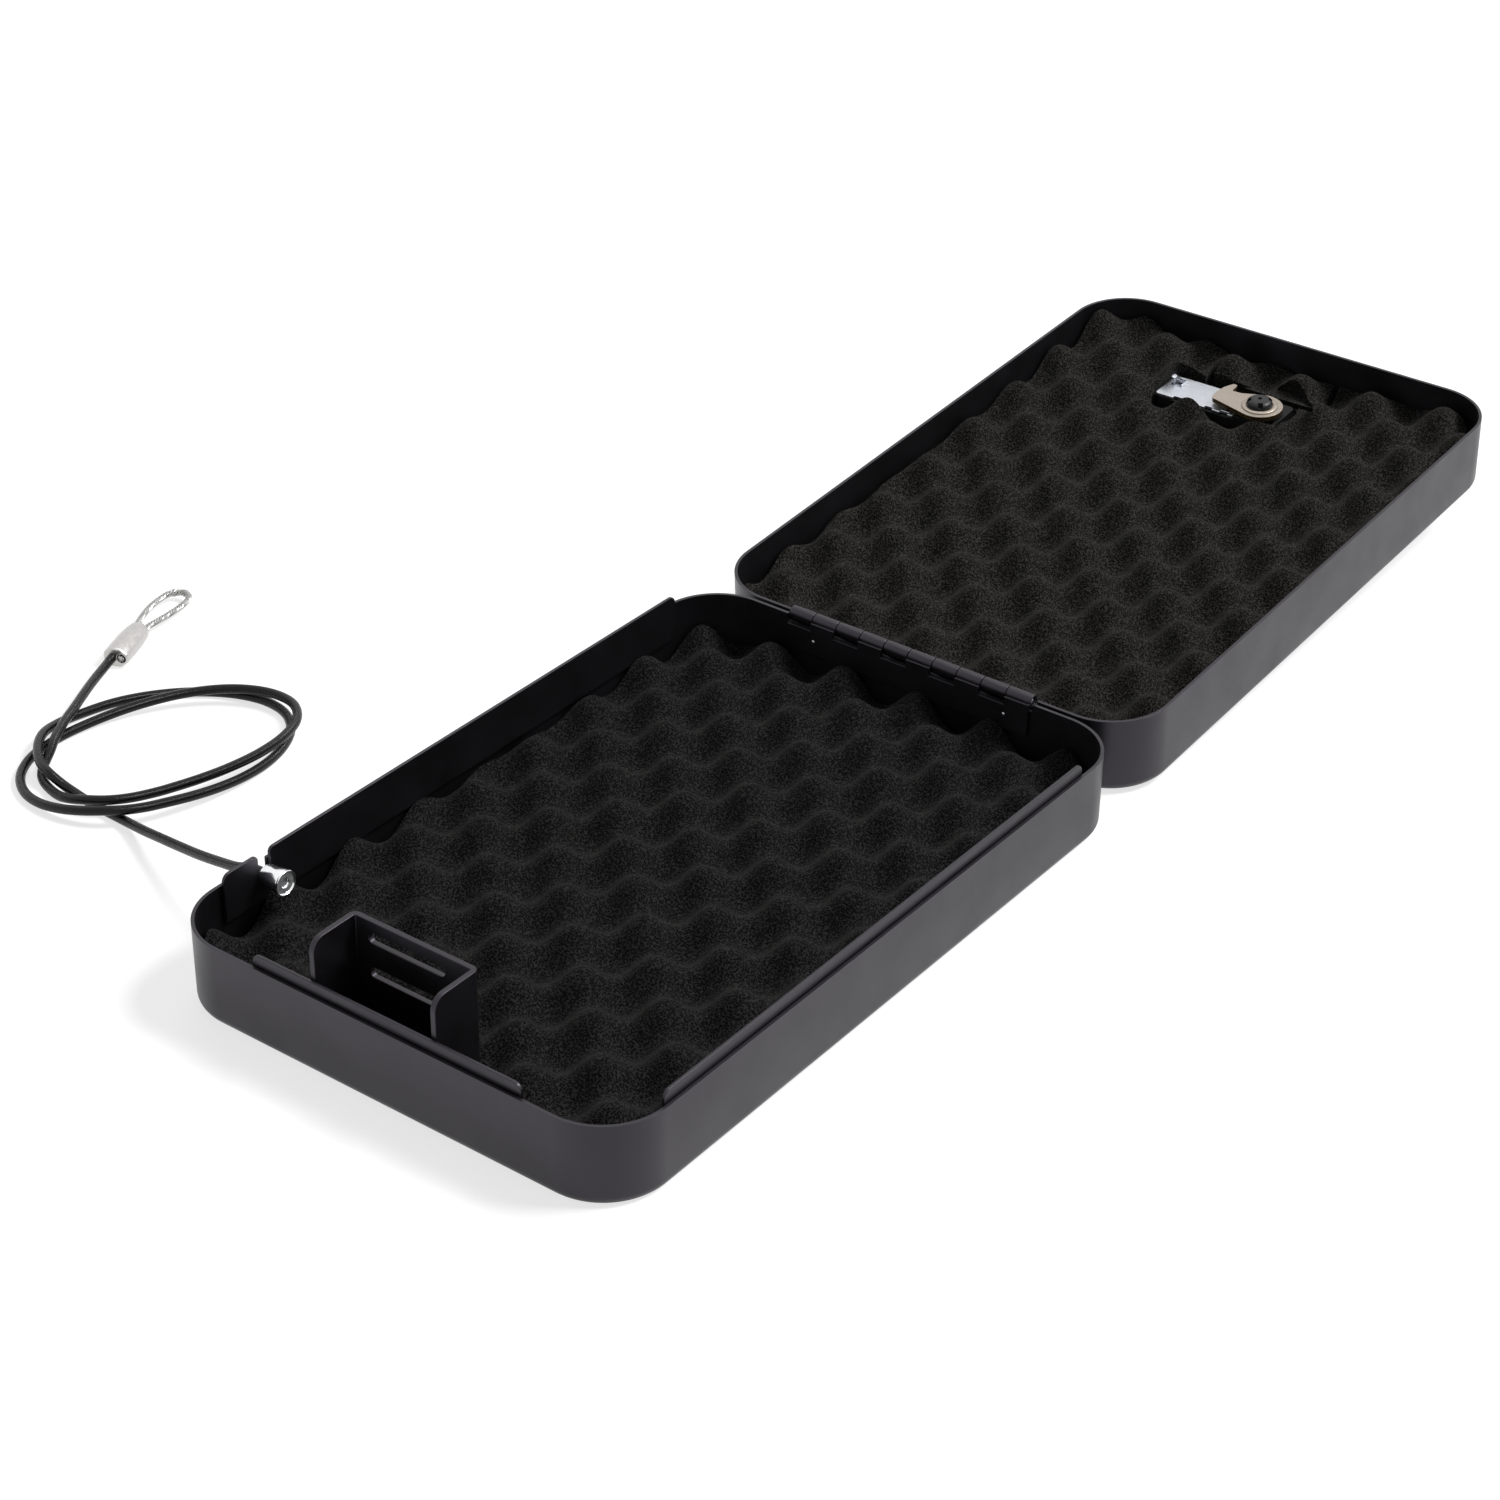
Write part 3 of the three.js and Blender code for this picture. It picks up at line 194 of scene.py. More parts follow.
def rectangle(low, high):
    return [(low[0], low[1]), (high[0], low[1]), (high[0], high[1]), (low[0], high[1])]


def arc(centre, radius, start, end, steps=8):
    return [
        (
            centre[0] + radius * math.cos(start + (end - start) * step / steps),
            centre[1] + radius * math.sin(start + (end - start) * step / steps),
        )
        for step in range(steps + 1)
    ]


def roundedOutline(low, high, radius, steps=8):
    outline = []
    for x, y, start in (
        (high[0] - radius, high[1] - radius, 0),
        (low[0] + radius, high[1] - radius, quarterTurn),
        (low[0] + radius, low[1] + radius, 2 * quarterTurn),
        (high[0] - radius, low[1] + radius, 3 * quarterTurn),
    ):
        outline += arc((x, y), radius, start, start + quarterTurn, steps)
    return outline


def slab(name, outline, low, high):  # an outline in X and Y, thick from low to high
    rings = [[Vector((x, y, z)) for x, y in outline] for z in (low, high)]
    return ringSkin(name, rings)


def standingSlab(name, outline, front, back):  # an outline in X and Z, thick along Y
    rings = [[Vector((x, y, z)) for x, z in outline] for y in (front, back)]
    return ringSkin(name, rings)


def sideSlab(name, outline, left, right):  # an outline in Y and Z, thick along X
    rings = [[Vector((x, y, z)) for y, z in outline] for x in (left, right)]
    return ringSkin(name, rings)


def moved(mesh, place):
    mesh.transform(Matrix.Translation(place))
    return mesh


def boolean(mesh, others, operation="DIFFERENCE"):
    holder = bpy.data.objects.new("carving", mesh)
    bpy.context.scene.collection.objects.link(holder)
    tools = []
    for other in others:
        tool = bpy.data.objects.new("carvingTool", other)
        bpy.context.scene.collection.objects.link(tool)
        step = holder.modifiers.new("carve", "BOOLEAN")
        step.operation = operation
        step.solver = "EXACT"
        step.object = tool
        tools.append(tool)
    seen = holder.evaluated_get(bpy.context.evaluated_depsgraph_get())
    result = bpy.data.meshes.new_from_object(seen)
    result.name = mesh.name
    for spare in [holder, *tools]:
        bpy.data.objects.remove(spare)
    clean(result)
    return result


def joined(name, meshes):
    work = bmesh.new()
    for mesh in meshes:
        work.from_mesh(mesh)
    result = bpy.data.meshes.new(name)
    work.to_mesh(result)
    work.free()
    return result


def addPiece(name, mesh, body, material, nodes=(), bevel=0, segments=2, own=False, sharpest=35):
    if own:
        mesh.transform(lidPlace)  # modelled in the lid's own frame
    mesh.name = name
    softEdges(mesh, sharpest)
    mesh.materials.clear()
    mesh.materials.append(material)
    piece = bpy.data.objects.new(name, mesh)
    bpy.context.scene.collection.objects.link(piece)
    if bevel:
        rounding = piece.modifiers.new("edgeRounding", "BEVEL")
        rounding.width = bevel
        rounding.segments = segments
        rounding.limit_method = "ANGLE"
        rounding.angle_limit = roundingAngle
        rounding.use_clamp_overlap = True
        rounding.harden_normals = True
    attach(piece, body)
    if nodes:
        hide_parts(*nodes)
    return piece


# effects that the finishes share, as node groups

def newGroup(name, inputs, outputs):
    group = bpy.data.node_groups.new(name, "ShaderNodeTree")
    for label, value in inputs:
        socket = group.interface.new_socket(name=label, in_out="INPUT", socket_type="NodeSocketFloat")
        socket.default_value = value
    for label in outputs:
        group.interface.new_socket(name=label, in_out="OUTPUT", socket_type="NodeSocketFloat")
    return group, group.nodes.new("NodeGroupInput"), group.nodes.new("NodeGroupOutput")


def noiseNode(tree, detail, roughness):
    node = tree.nodes.new("ShaderNodeTexNoise")
    node.inputs["Detail"].default_value = detail
    node.inputs["Roughness"].default_value = roughness
    return node


def buildGrain():  # fine even grain with slow blotches
    group, entry, leave = newGroup(
        "surfaceGrain", (("Grain Scale", 1500), ("Blotch Scale", 30)), ("Grain", "Blotch"),
    )
    place = group.nodes.new("ShaderNodeTexCoord")
    fine = noiseNode(group, detail=2, roughness=0.5)
    slow = noiseNode(group, detail=4, roughness=0.6)
    for node, scale in ((fine, "Grain Scale"), (slow, "Blotch Scale")):
        group.links.new(place.outputs["Object"], node.inputs["Vector"])
        group.links.new(entry.outputs[scale], node.inputs["Scale"])
    group.links.new(fine.outputs["Fac"], leave.inputs["Grain"])
    group.links.new(slow.outputs["Fac"], leave.inputs["Blotch"])
    return group


def buildStrokes():  # drawn or rolled lines along X
    group, entry, leave = newGroup("drawnLines", (("Line Scale", 3000), ("Along Share", 0.02)), ("Lines",))
    place = group.nodes.new("ShaderNodeTexCoord")
    stretch = group.nodes.new("ShaderNodeCombineXYZ")
    stretch.inputs["Y"].default_value = 1
    stretch.inputs["Z"].default_value = 1
    scaled = group.nodes.new("ShaderNodeVectorMath")
    scaled.operation = "MULTIPLY"
    lines = noiseNode(group, detail=3, roughness=0.6)
    group.links.new(entry.outputs["Along Share"], stretch.inputs["X"])
    group.links.new(place.outputs["Object"], scaled.inputs[0])
    group.links.new(stretch.outputs["Vector"], scaled.inputs[1])
    group.links.new(scaled.outputs["Vector"], lines.inputs["Vector"])
    group.links.new(entry.outputs["Line Scale"], lines.inputs["Scale"])
    group.links.new(lines.outputs["Fac"], leave.inputs["Lines"])
    return group


grainGroup = buildGrain()
lineGroup = buildStrokes()


def newMaterial(name):
    material = bpy.data.materials.new(name)
    material.use_nodes = True
    return material, material.node_tree, material.node_tree.nodes["Principled BSDF"]


def addGroup(tree, group, **values):
    node = tree.nodes.new("ShaderNodeGroup")
    node.node_tree = group
    for label, value in values.items():
        node.inputs[label.replace("_", " ")].default_value = value
    return node


def between(tree, factor, dark, light, socket):
    mix = tree.nodes.new("ShaderNodeMix")
    mix.data_type = "RGBA"
    mix.inputs["A"].default_value = (*dark, 1)
    mix.inputs["B"].default_value = (*light, 1)
    tree.links.new(factor, mix.inputs["Factor"])
    tree.links.new(mix.outputs["Result"], socket)


noiseRange = (0.3, 0.7)  # where most of a noise's values lie


def rangeNode(tree, factor, fromRange, toRange=(0, 1)):
    node = tree.nodes.new("ShaderNodeMapRange")
    node.inputs["From Min"].default_value, node.inputs["From Max"].default_value = fromRange
    node.inputs["To Min"].default_value, node.inputs["To Max"].default_value = toRange
    tree.links.new(factor, node.inputs["Value"])
    return node.outputs["Result"]


def spread(tree, factor, toRange, socket):
    tree.links.new(rangeNode(tree, factor, noiseRange, toRange), socket)


def bumped(tree, shader, height, depth):
    node = tree.nodes.new("ShaderNodeBump")
    node.inputs["Strength"].default_value = 1
    node.inputs["Distance"].default_value = depth
    tree.links.new(height, node.inputs["Height"])
    tree.links.new(node.outputs["Normal"], shader.inputs["Normal"])


def grainedFinish(name, look):
    material, tree, shader = newMaterial(name)
    grain = addGroup(tree, grainGroup, Grain_Scale=look["grain"], Blotch_Scale=look["blotch"])
    between(tree, grain.outputs["Blotch"], look["dark"], look["light"], shader.inputs["Base Color"])
    spread(tree, grain.outputs["Blotch"], look["roughness"], shader.inputs["Roughness"])
    bumped(tree, shader, grain.outputs["Grain"], look["depth"])
    shader.inputs["Metallic"].default_value = look.get("metallic", 0)
    shader.inputs["IOR"].default_value = look.get("ior", 1.5)
    shader.inputs["Specular Tint"].default_value = (*look.get("gleam", (1, 1, 1)), 1)
    return material


def drawnFinish(name, look):  # metal with lines along X and faint blotches
    material, tree, shader = newMaterial(name)
    lines = addGroup(tree, lineGroup, Line_Scale=look["lines"], Along_Share=look["along"])
    grain = addGroup(tree, grainGroup, Grain_Scale=look["grain"], Blotch_Scale=look["blotch"])
    between(tree, grain.outputs["Blotch"], look["dark"], look["light"], shader.inputs["Base Color"])
    spread(tree, lines.outputs["Lines"], look["roughness"], shader.inputs["Roughness"])
    bumped(tree, shader, lines.outputs["Lines"], look["depth"])
    shader.inputs["Metallic"].default_value = look["metallic"]
    return material


powderLook = {
    "dark": (0.0026, 0.0024, 0.0027),
    "light": (0.0042, 0.0039, 0.0044),
    "roughness": (0.34, 0.44),
    "grain": 1900,
    "blotch": 45,
    "depth": 0.02 * mm,
    "ior": 1.52,
    "gleam": (0.92, 0.85, 1),
}
zincLook = {
    "dark": (0.52, 0.55, 0.6),
    "light": (0.69, 0.71, 0.745),
    "roughness": (0.22, 0.42),
    "lines": 900,
    "along": 0.25,
    "grain": 2600,
    "blotch": 260,
    "depth": 0.008 * mm,
    "metallic": 0.92,
}
nickelLook = {
    "dark": (0.33, 0.285, 0.24),
    "light": (0.46, 0.405, 0.35),
    "roughness": (0.38, 0.56),
    "grain": 2400,
    "blotch": 900,
    "depth": 0.025 * mm,
    "metallic": 0.85,
}
steelLook = {
    "dark": (0.4, 0.41, 0.43),
    "light": (0.62, 0.63, 0.65),
    "roughness": (0.2, 0.4),
    "lines": 2200,
    "along": 0.1,
    "grain": 2600,
    "blotch": 200,
    "depth": 0.01 * mm,
    "metallic": 1,
}
chromeLook = {
    "dark": (0.86, 0.87, 0.89),
    "light": (0.95, 0.96, 0.97),
    "roughness": (0.14, 0.26),
    "grain": 1400,
    "blotch": 220,
    "depth": 0.006 * mm,
    "metallic": 1,
}
facedLook = {
    "dark": (0.24, 0.245, 0.25),
    "light": (0.5, 0.505, 0.51),
    "roughness": (0.36, 0.6),
    "grain": 2200,
    "blotch": 500,
    "depth": 0.03 * mm,
    "metallic": 0.6,
}
aluminiumLook = {
    "dark": (0.5, 0.485, 0.47),
    "light": (0.63, 0.615, 0.6),
    "roughness": (0.24, 0.4),
    "grain": 2600,
    "blotch": 700,
    "depth": 0.008 * mm,
    "metallic": 0.92,
}
strandLook = {
    "dark": (0.32, 0.32, 0.31),
    "light": (0.5, 0.5, 0.49),
    "roughness": (0.2, 0.36),
    "grain": 3000,
    "blotch": 700,
    "depth": 0.012 * mm,
    "metallic": 1,
}
castLook = {
    "dark": (0.003, 0.003, 0.0033),
    "light": (0.006, 0.006, 0.0064),
    "roughness": (0.5, 0.65),
    "grain": 1600,
    "blotch": 90,
    "depth": 0.03 * mm,
    "ior": 1.32,
}
capLook = {
    "dark": (0.006, 0.006, 0.0065),
    "light": (0.02, 0.02, 0.021),
    "roughness": (0.3, 0.5),
    "grain": 2400,
    "blotch": 900,
    "depth": 0.02 * mm,
    "ior": 1.4,
}
bronzeLook = {
    "dark": (0.05, 0.03, 0.012),
    "light": (0.14, 0.09, 0.04),
    "roughness": (0.35, 0.55),
    "grain": 2200,
    "blotch": 600,
    "depth": 0.02 * mm,
    "metallic": 0.8,
}
plasticLook = {
    "dark": (0.012, 0.012, 0.012),
    "light": (0.02, 0.02, 0.021),
    "roughness": (0.32, 0.46),
    "grain": 2200,
    "blotch": 120,
    "depth": 0.014 * mm,
}
brassLook = {
    "dark": (0.5, 0.34, 0.12),
    "light": (0.66, 0.47, 0.2),
    "roughness": (0.22, 0.4),
    "grain": 1800,
    "blotch": 160,
    "depth": 0.01 * mm,
    "metallic": 1,
}
markLook = {
    "dark": (0.7, 0.7, 0.68),
    "light": (0.82, 0.82, 0.8),
    "roughness": (0.45, 0.6),
    "grain": 1800,
    "blotch": 300,
    "depth": 0.01 * mm,
}

powderCoat = grainedFinish("powderCoat", powderLook)
zincPlate = drawnFinish("zincPlate", zincLook)
warmNickel = grainedFinish("warmNickel", nickelLook)
brightSteel = drawnFinish("brightSteel", steelLook)
polishedChrome = grainedFinish("polishedChrome", chromeLook)
facedEnd = grainedFinish("facedEnd", facedLook)
pressedAluminium = grainedFinish("pressedAluminium", aluminiumLook)
bareStrand = grainedFinish("bareStrand", strandLook)
blackCasting = grainedFinish("blackCasting", castLook)
blackPlastic = grainedFinish("blackPlastic", plasticLook)
capPlastic = grainedFinish("capPlastic", capLook)
camSideBrown = grainedFinish("camSideBrown", bronzeLook)
turnedBrass = grainedFinish("turnedBrass", brassLook)
whitePaint = grainedFinish("whitePaint", markLook)

foamLook = {
    "pore": (0.0008, 0.0008, 0.0009),
    "strut": (0.05, 0.0489, 0.0468),
    "poreScale": 1500,
    "fineScale": 3400,
    "cellRange": (0.17, 0.42),
    "roughness": (0.86, 1),
    "depth": 0.75 * mm,
    "specular": 0.06,
    "sheen": 0.05,
    "sheenRoughness": 0.35,
    "sheenTint": (0.9, 0.88, 0.85),
    # painted light and shade: the one foam is made darker and cooler in the base and lighter and warmer in
    # the lid
    "baseShadeTint": (0.79, 0.81, 0.83),
    "lidLightTint": (1.22, 1.2, 1.15),
}


def foamFinish(name, look, tint):  # open cells: dark pores between pale struts
    material, tree, shader = newMaterial(name)
    place = tree.nodes.new("ShaderNodeTexCoord")
    cells = tree.nodes.new("ShaderNodeTexVoronoi")
    cells.feature = "F1"
    cells.inputs["Scale"].default_value = look["poreScale"]
    fine = noiseNode(tree, detail=3, roughness=0.65)
    fine.inputs["Scale"].default_value = look["fineScale"]
    for node in (cells, fine):
        tree.links.new(place.outputs["Object"], node.inputs["Vector"])
    both = tree.nodes.new("ShaderNodeMath")
    both.operation = "MULTIPLY"
    tree.links.new(cells.outputs["Distance"], both.inputs[0])
    tree.links.new(fine.outputs["Fac"], both.inputs[1])
    cell = rangeNode(tree, both.outputs["Value"], look["cellRange"])
    # the struts take the painted light and shade tint of their half
    strut = [tint[channel] * look["strut"][channel] for channel in range(3)]
    between(tree, cell, look["pore"], strut, shader.inputs["Base Color"])
    spread(tree, fine.outputs["Fac"], look["roughness"], shader.inputs["Roughness"])
    bumped(tree, shader, both.outputs["Value"], look["depth"])
    shader.inputs["Specular IOR Level"].default_value = look["specular"]
    shader.inputs["Sheen Weight"].default_value = look["sheen"]
    shader.inputs["Sheen Roughness"].default_value = look["sheenRoughness"]
    shader.inputs["Sheen Tint"].default_value = (*look["sheenTint"], 1)
    return material


# the base's foam carries painted shade, the lid's foam painted light
baseFoamFinish = foamFinish("baseFoam", foamLook, foamLook["baseShadeTint"])
lidFoamFinish = foamFinish("lidFoam", foamLook, foamLook["lidLightTint"])

coatLook = {
    "dark": (0.0022, 0.0022, 0.0024),
    "light": (0.004, 0.004, 0.0043),
    "lay": 7.0,
    "waver": 1.2,
    "roughness": (0.12, 0.22),
    "depth": 0.035 * mm,
    "ior": 1.3,
}


def coatFinish(name, look):  # glossy coating that shows the twisted strands below it
    material, tree, shader = newMaterial(name)
    place = tree.nodes.new("ShaderNodeUVMap")
    place.uv_map = "alongCable"
    twist = tree.nodes.new("ShaderNodeTexWave")
    twist.wave_type = "BANDS"
    twist.bands_direction = "DIAGONAL"
    twist.inputs["Scale"].default_value = look["lay"]
    twist.inputs["Distortion"].default_value = look["waver"]
    twist.inputs["Detail"].default_value = 1
    tree.links.new(place.outputs["UV"], twist.inputs["Vector"])
    between(tree, twist.outputs["Fac"], look["dark"], look["light"], shader.inputs["Base Color"])
    spread(tree, twist.outputs["Fac"], look["roughness"], shader.inputs["Roughness"])
    bumped(tree, shader, twist.outputs["Fac"], look["depth"])
    shader.inputs["IOR"].default_value = look["ior"]
    return material


cableCoat = coatFinish("cableCoat", coatLook)
print("finishes made")


# security cable, first of the pieces

cable = {
    "diameter": 3.5,
    "sides": 20,
    "spacing": 1.4,
    "lead": [
        (-93, -95.6, 25.4), (-98, -95.3, 24), (-103.1, -94.8, 22), (-112.3, -93.1, 19.2),
        (-124.4, -90.5, 15.6), (-137.4, -87.2, 11.9), (-150.6, -83.9, 8.4), (-161.7, -80.8, 5.2),
        (-172.8, -77.9, 2.6), (-181.8, -76.8, 1.8), (-190.9, -76.5, 1.8), (-196.5, -75.9, 1.8),
        (-200.5, -75.5, 2), (-207.1, -75.5, 3.2), (-213.2, -75.7, 5.5),
    ],
    "tail": [
        (-179.4, -70.1, 6), (-184.9, -76.1, 5.9), (-192.9, -80, 5), (-198.5, -81.1, 3.8),
        (-203.8, -80.6, 2.6), (-210.5, -78.7, 1.8), (-215.3, -76.9, 1.8), (-219.4, -74.2, 1.8),
        (-223, -70.1, 2), (-224.4, -67.2, 3.1), (-225.5, -64.2, 4.7), (-228.1, -59.8, 5.9),
        (-231.9, -53.5, 6.1), (-235.3, -47.2, 6.1), (-238.1, -41.3, 6.1), (-245.6, -27.4, 5.4),
        (-249.6, -19.8, 4.8), (-253, -12.6, 4.4),
    ],
}
coil = {  # across, along and the corners: a first value and its change with each turn
    "centre": (-196.5, -40),
    "shift": (3.4, -4.5),
    "across": (41.8, -8.6),
    "along": (47.6, -0.4),
    "lean": (6.5, -4.2),
    "cornerAcross": ((-2.2, -5.1), (2.7, -2.8)),
    "cornerAlong": ((-4, -1), (2.7, -9.8)),
    "start": -119,
    "turns": (0.03, 1.68),
    "stepsPerTurn": 24,
    "low": 1.8,
    "high": 6.05,
    "falls": ((0.08, 0.2), (0.83, 1.03)),  # from one turn to another
    "climbs": ((0.55, 0.76), (1.15, 1.31)),
}
ferrule = {
    "from": (-255.5, -4.3, 4.1),
    "to": (-264.1, 16.5, 4.1),
    "width": 9.5,
    "height": 7.6,
    "lengthShares": (0, 0.015, 0.05, 0.3, 0.62, 0.86, 0.94, 0.985, 1),
    "widthShares": (0.9, 0.95, 0.98, 1, 0.99, 0.9, 0.82, 0.75, 0.7),
    "flats": 8,
    "cornerShare": 0.22,
    "cableShare": 1 / 8,
    "mouthShare": 0.24,
    "mouthRadius": 1.75,
    "mouthDepth": 2.4,
    "mouthLead": 0.5,
    "round": 0.25,
}
eye = {
    "diameter": 2.4,
    "strands": 6,
    "layLength": 9.0,
    "openAt": (0.36, 0.62),
    "openShare": 0.5,
    "leastOpen": 0.2,
    "spacing": 0.5,
    "coreWires": 1.6,
    "wireSides": 8,
    "deadEnd": 2.6,
    "deadEndReach": (-0.2, 0.4, 1, 1.6),
    "points": [
        (-270.6, 24, 3.9), (-273.9, 31.6, 3.7), (-275.4, 37.6, 3.5), (-275.9, 43, 3.3),
        (-273.6, 47, 3.2), (-269.4, 47, 3.2), (-266.6, 43.4, 3.3), (-265, 38, 3.5),
        (-264, 32, 3.7), (-263.4, 25.6, 3.9),
    ],
}


def smoothStep(value, low, high):
    share = min(max((value - low) / (high - low), 0), 1)
    return share * share * (3 - 2 * share)


def coilPoint(turn):
    angle = math.radians(coil["start"]) - turn * fullTurn

    def grown(pair):
        return pair[0] + pair[1] * turn

    def corner(pairs):
        return grown(pairs[0]) * math.cos(2 * angle) + grown(pairs[1]) * math.sin(2 * angle)

    across = grown(coil["across"]) * math.cos(angle) + coil["lean"][0] * turn * math.sin(angle)
    along = grown(coil["along"]) * math.sin(angle) + coil["lean"][1] * turn * math.cos(angle)
    climbed = sum(smoothStep(turn, low, high) for low, high in coil["climbs"])
    fallen = sum(smoothStep(turn, low, high) for low, high in coil["falls"])
    return Vector((
        coil["centre"][0] + coil["shift"][0] * turn + across + corner(coil["cornerAcross"]),
        coil["centre"][1] + coil["shift"][1] * turn + along + corner(coil["cornerAlong"]),
        coil["high"] + (coil["high"] - coil["low"]) * (climbed - fallen),
    ))


def smoothRoute(points, spacing):  # centripetal Catmull-Rom, as a list of points about spacing apart
    route = [Vector(points[0])]
    padded = [2 * points[0] - points[1], *points, 2 * points[-1] - points[-2]]
    for index in range(1, len(padded) - 2):
        p0, p1, p2, p3 = padded[index - 1:index + 3]
        t1 = math.sqrt((p1 - p0).length)
        t2 = t1 + math.sqrt((p2 - p1).length)
        t3 = t2 + math.sqrt((p3 - p2).length)
        steps = max(1, math.ceil((p2 - p1).length / spacing))
        for step in range(1, steps + 1):
            t = t1 + (t2 - t1) * step / steps
            a1 = p0.lerp(p1, t / t1)
            a2 = p1.lerp(p2, (t - t1) / (t2 - t1))
            a3 = p2.lerp(p3, (t - t2) / (t3 - t2))
            b1 = a1.lerp(a2, t / t2)
            b2 = a2.lerp(a3, (t - t1) / (t3 - t1))
            route.append(b1.lerp(b2, (t - t1) / (t2 - t1)))
    return route


def routeFrames(route):  # a point, its direction and two steady sideways directions
    frames = []
    side = None
    for index, point in enumerate(route):
        before = route[max(index - 1, 0)]
        after = route[min(index + 1, len(route) - 1)]
        ahead = (after - before).normalized()
        if side is None:
            side = ahead.cross(Vector((0, 0, 1))).normalized()
        side = (side - ahead * side.dot(ahead)).normalized()
        frames.append((point, ahead, side, side.cross(ahead)))
    return frames


def routeLength(route):
    return sum((after - before).length for before, after in zip(route, route[1:]))


def tubeMesh(name, route, radius, sides):
    rings = []
    for point, _, side, up in routeFrames(route):
        angles = [fullTurn * step / sides for step in range(sides)]
        rings.append([point + (side * math.cos(angle) + up * math.sin(angle)) * radius for angle in angles])
    return ringSkin(name, rings)


def cableRoute():
    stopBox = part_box("cable_stop")
    middle = (stopBox[0] + stopBox[1]) / 2
    leave = Vector((stopBox[0].x - seatGap, middle.y, middle.z)) / mm
    first, last = coil["turns"]
    count = round((last - first) * coil["stepsPerTurn"])
    turns = [coilPoint(first + (last - first) * step / count) for step in range(count + 1)]
    start = Vector(ferrule["from"])
    run = (Vector(ferrule["to"]) - start).normalized()
    aside = Vector((run.y, -run.x, 0)) * -ferrule["width"] * ferrule["cableShare"]
    gap = seatGap / mm
    ending = [start + aside - run * (gap + cable["diameter"]), start + aside - run * gap]
    points = [leave, *map(Vector, cable["lead"]), *turns, *map(Vector, cable["tail"]), *ending]
    return [point * mm for point in smoothRoute(points, cable["spacing"])]


def addAlongMap(mesh, sides, spacing):  # u once round the cable, v along it, about in diameters
    layer = mesh.uv_layers.new(name="alongCable")
    for loop in mesh.loops:
        ring, corner = divmod(loop.vertex_index, sides)
        layer.data[loop.index].uv = (corner / sides, ring * spacing / cable["diameter"])


def addCable():
    route = cableRoute()
    mesh = tubeMesh("cable", route, cable["diameter"] * mm / 2, cable["sides"])
    addAlongMap(mesh, cable["sides"], cable["spacing"])
    piece = addPiece(
        "coated_cable", mesh, "base", cableCoat, ("cable_lead", "cable_loops", "cable_tail"),
    )
    return piece, route


def addFerrule():
    start = Vector(ferrule["from"])
    end = Vector(ferrule["to"])
    run = (end - start).normalized()
    aside = Vector((run.y, -run.x, 0))
    length = (end - start).length
    outline = []
    for flat in range(ferrule["flats"]):
        middle = fullTurn * (flat + 0.5) / ferrule["flats"]
        for share in (-ferrule["cornerShare"], ferrule["cornerShare"]):
            angle = middle + share * fullTurn / ferrule["flats"] / 2
            outline.append((math.cos(angle), math.sin(angle)))
    reach = 1 / math.cos(math.pi / ferrule["flats"]) / 2
    rings = []
    for lengthShare, widthShare in zip(ferrule["lengthShares"], ferrule["widthShares"]):
        centre = start + run * length * lengthShare
        rings.append([
            (
                centre
                + aside * ferrule["width"] * reach * widthShare * x
                + Vector((0, 0, ferrule["height"] * reach * widthShare * z))
            ) * mm
            for x, z in outline
        ])
    mesh = ringSkin("ferrule", rings)
    mouth = start + aside * ferrule["width"] * ferrule["mouthShare"]
    hole = plug("mouth", ferrule["mouthRadius"] * mm, 0, ferrule["mouthDepth"] * mm, segments=24)
    hole.transform(
        Matrix.Translation((mouth - run * ferrule["mouthLead"]) * mm)
        @ run.to_track_quat("Z", "Y").to_matrix().to_4x4()
    )
    sleeve = addPiece(
        "eye_sleeve", boolean(mesh, [hole]), "base", pressedAluminium, ("eye_ferrule",),
        bevel=ferrule["round"] * mm, sharpest=50,
    )
    return sleeve, mouth, run


def strandTwist(name, route, diameter, opening=None):
    strands, sides = eye["strands"], eye["wireSides"]
    wire = diameter / (1 + 1 / math.sin(math.pi / strands)) / 2
    meshes = []
    frames = routeFrames(route)
    distance = [0]
    for before, after in zip(route, route[1:]):
        distance.append(distance[-1] + (after - before).length)
    for strand in range(strands):
        turn = fullTurn * strand / strands
        path = []
        for (point, _, side, up), gone in zip(frames, distance):
            angle = turn + fullTurn * gone / (eye["layLength"] * mm)
            reach = diameter / 2 - wire
            if opening:
                reach *= 1 + opening(gone / distance[-1], strand)
            path.append(point + (side * math.cos(angle) + up * math.sin(angle)) * reach)
        meshes.append(tubeMesh(name, path, wire, sides))
    meshes.append(tubeMesh(name, route, diameter / 2 - wire * eye["coreWires"], sides))
    return joined(name, meshes)


def addEye(mouth, run):
    end = Vector(ferrule["to"])
    aside = Vector((run.y, -run.x, 0)) * ferrule["width"] / 4
    legs = [end - aside + run * (seatGap / mm), end + aside + run * (seatGap / mm)]
    first = legs[0] + run * eye["diameter"]
    last = legs[1] + run * eye["diameter"]
    points = [legs[0], first, *map(Vector, eye["points"]), last, legs[1]]
    route = [point * mm for point in smoothRoute(points, eye["spacing"])]

    def opening(share, strand):  # the strands part a little round the tip
        low, high = eye["openAt"]
        inside = min(max((share - low) / (high - low), 0), 1)
        least = eye["leastOpen"]
        return eye["openShare"] * math.sin(math.pi * inside) ** 2 * (least + (1 - least) * (strand % 3) / 2)

    loop = strandTwist("eyeLoop", route, eye["diameter"] * mm, opening)
    stub = [(mouth + run * reach) * mm for reach in eye["deadEndReach"]]
    deadEnd = strandTwist("deadEnd", stub, eye["deadEnd"] * mm)
    mesh = joined("eye_strand", [loop, deadEnd])
    return addPiece("eye_strand", mesh, "base", bareStrand, ("eye_loop",))


cablePiece, cablePath = addCable()
sleevePiece, sleeveMouth, sleeveRun = addFerrule()
eyePiece = addEye(sleeveMouth, sleeveRun)
print("cable made,", round(routeLength(cablePath) / mm, 1), "mm")

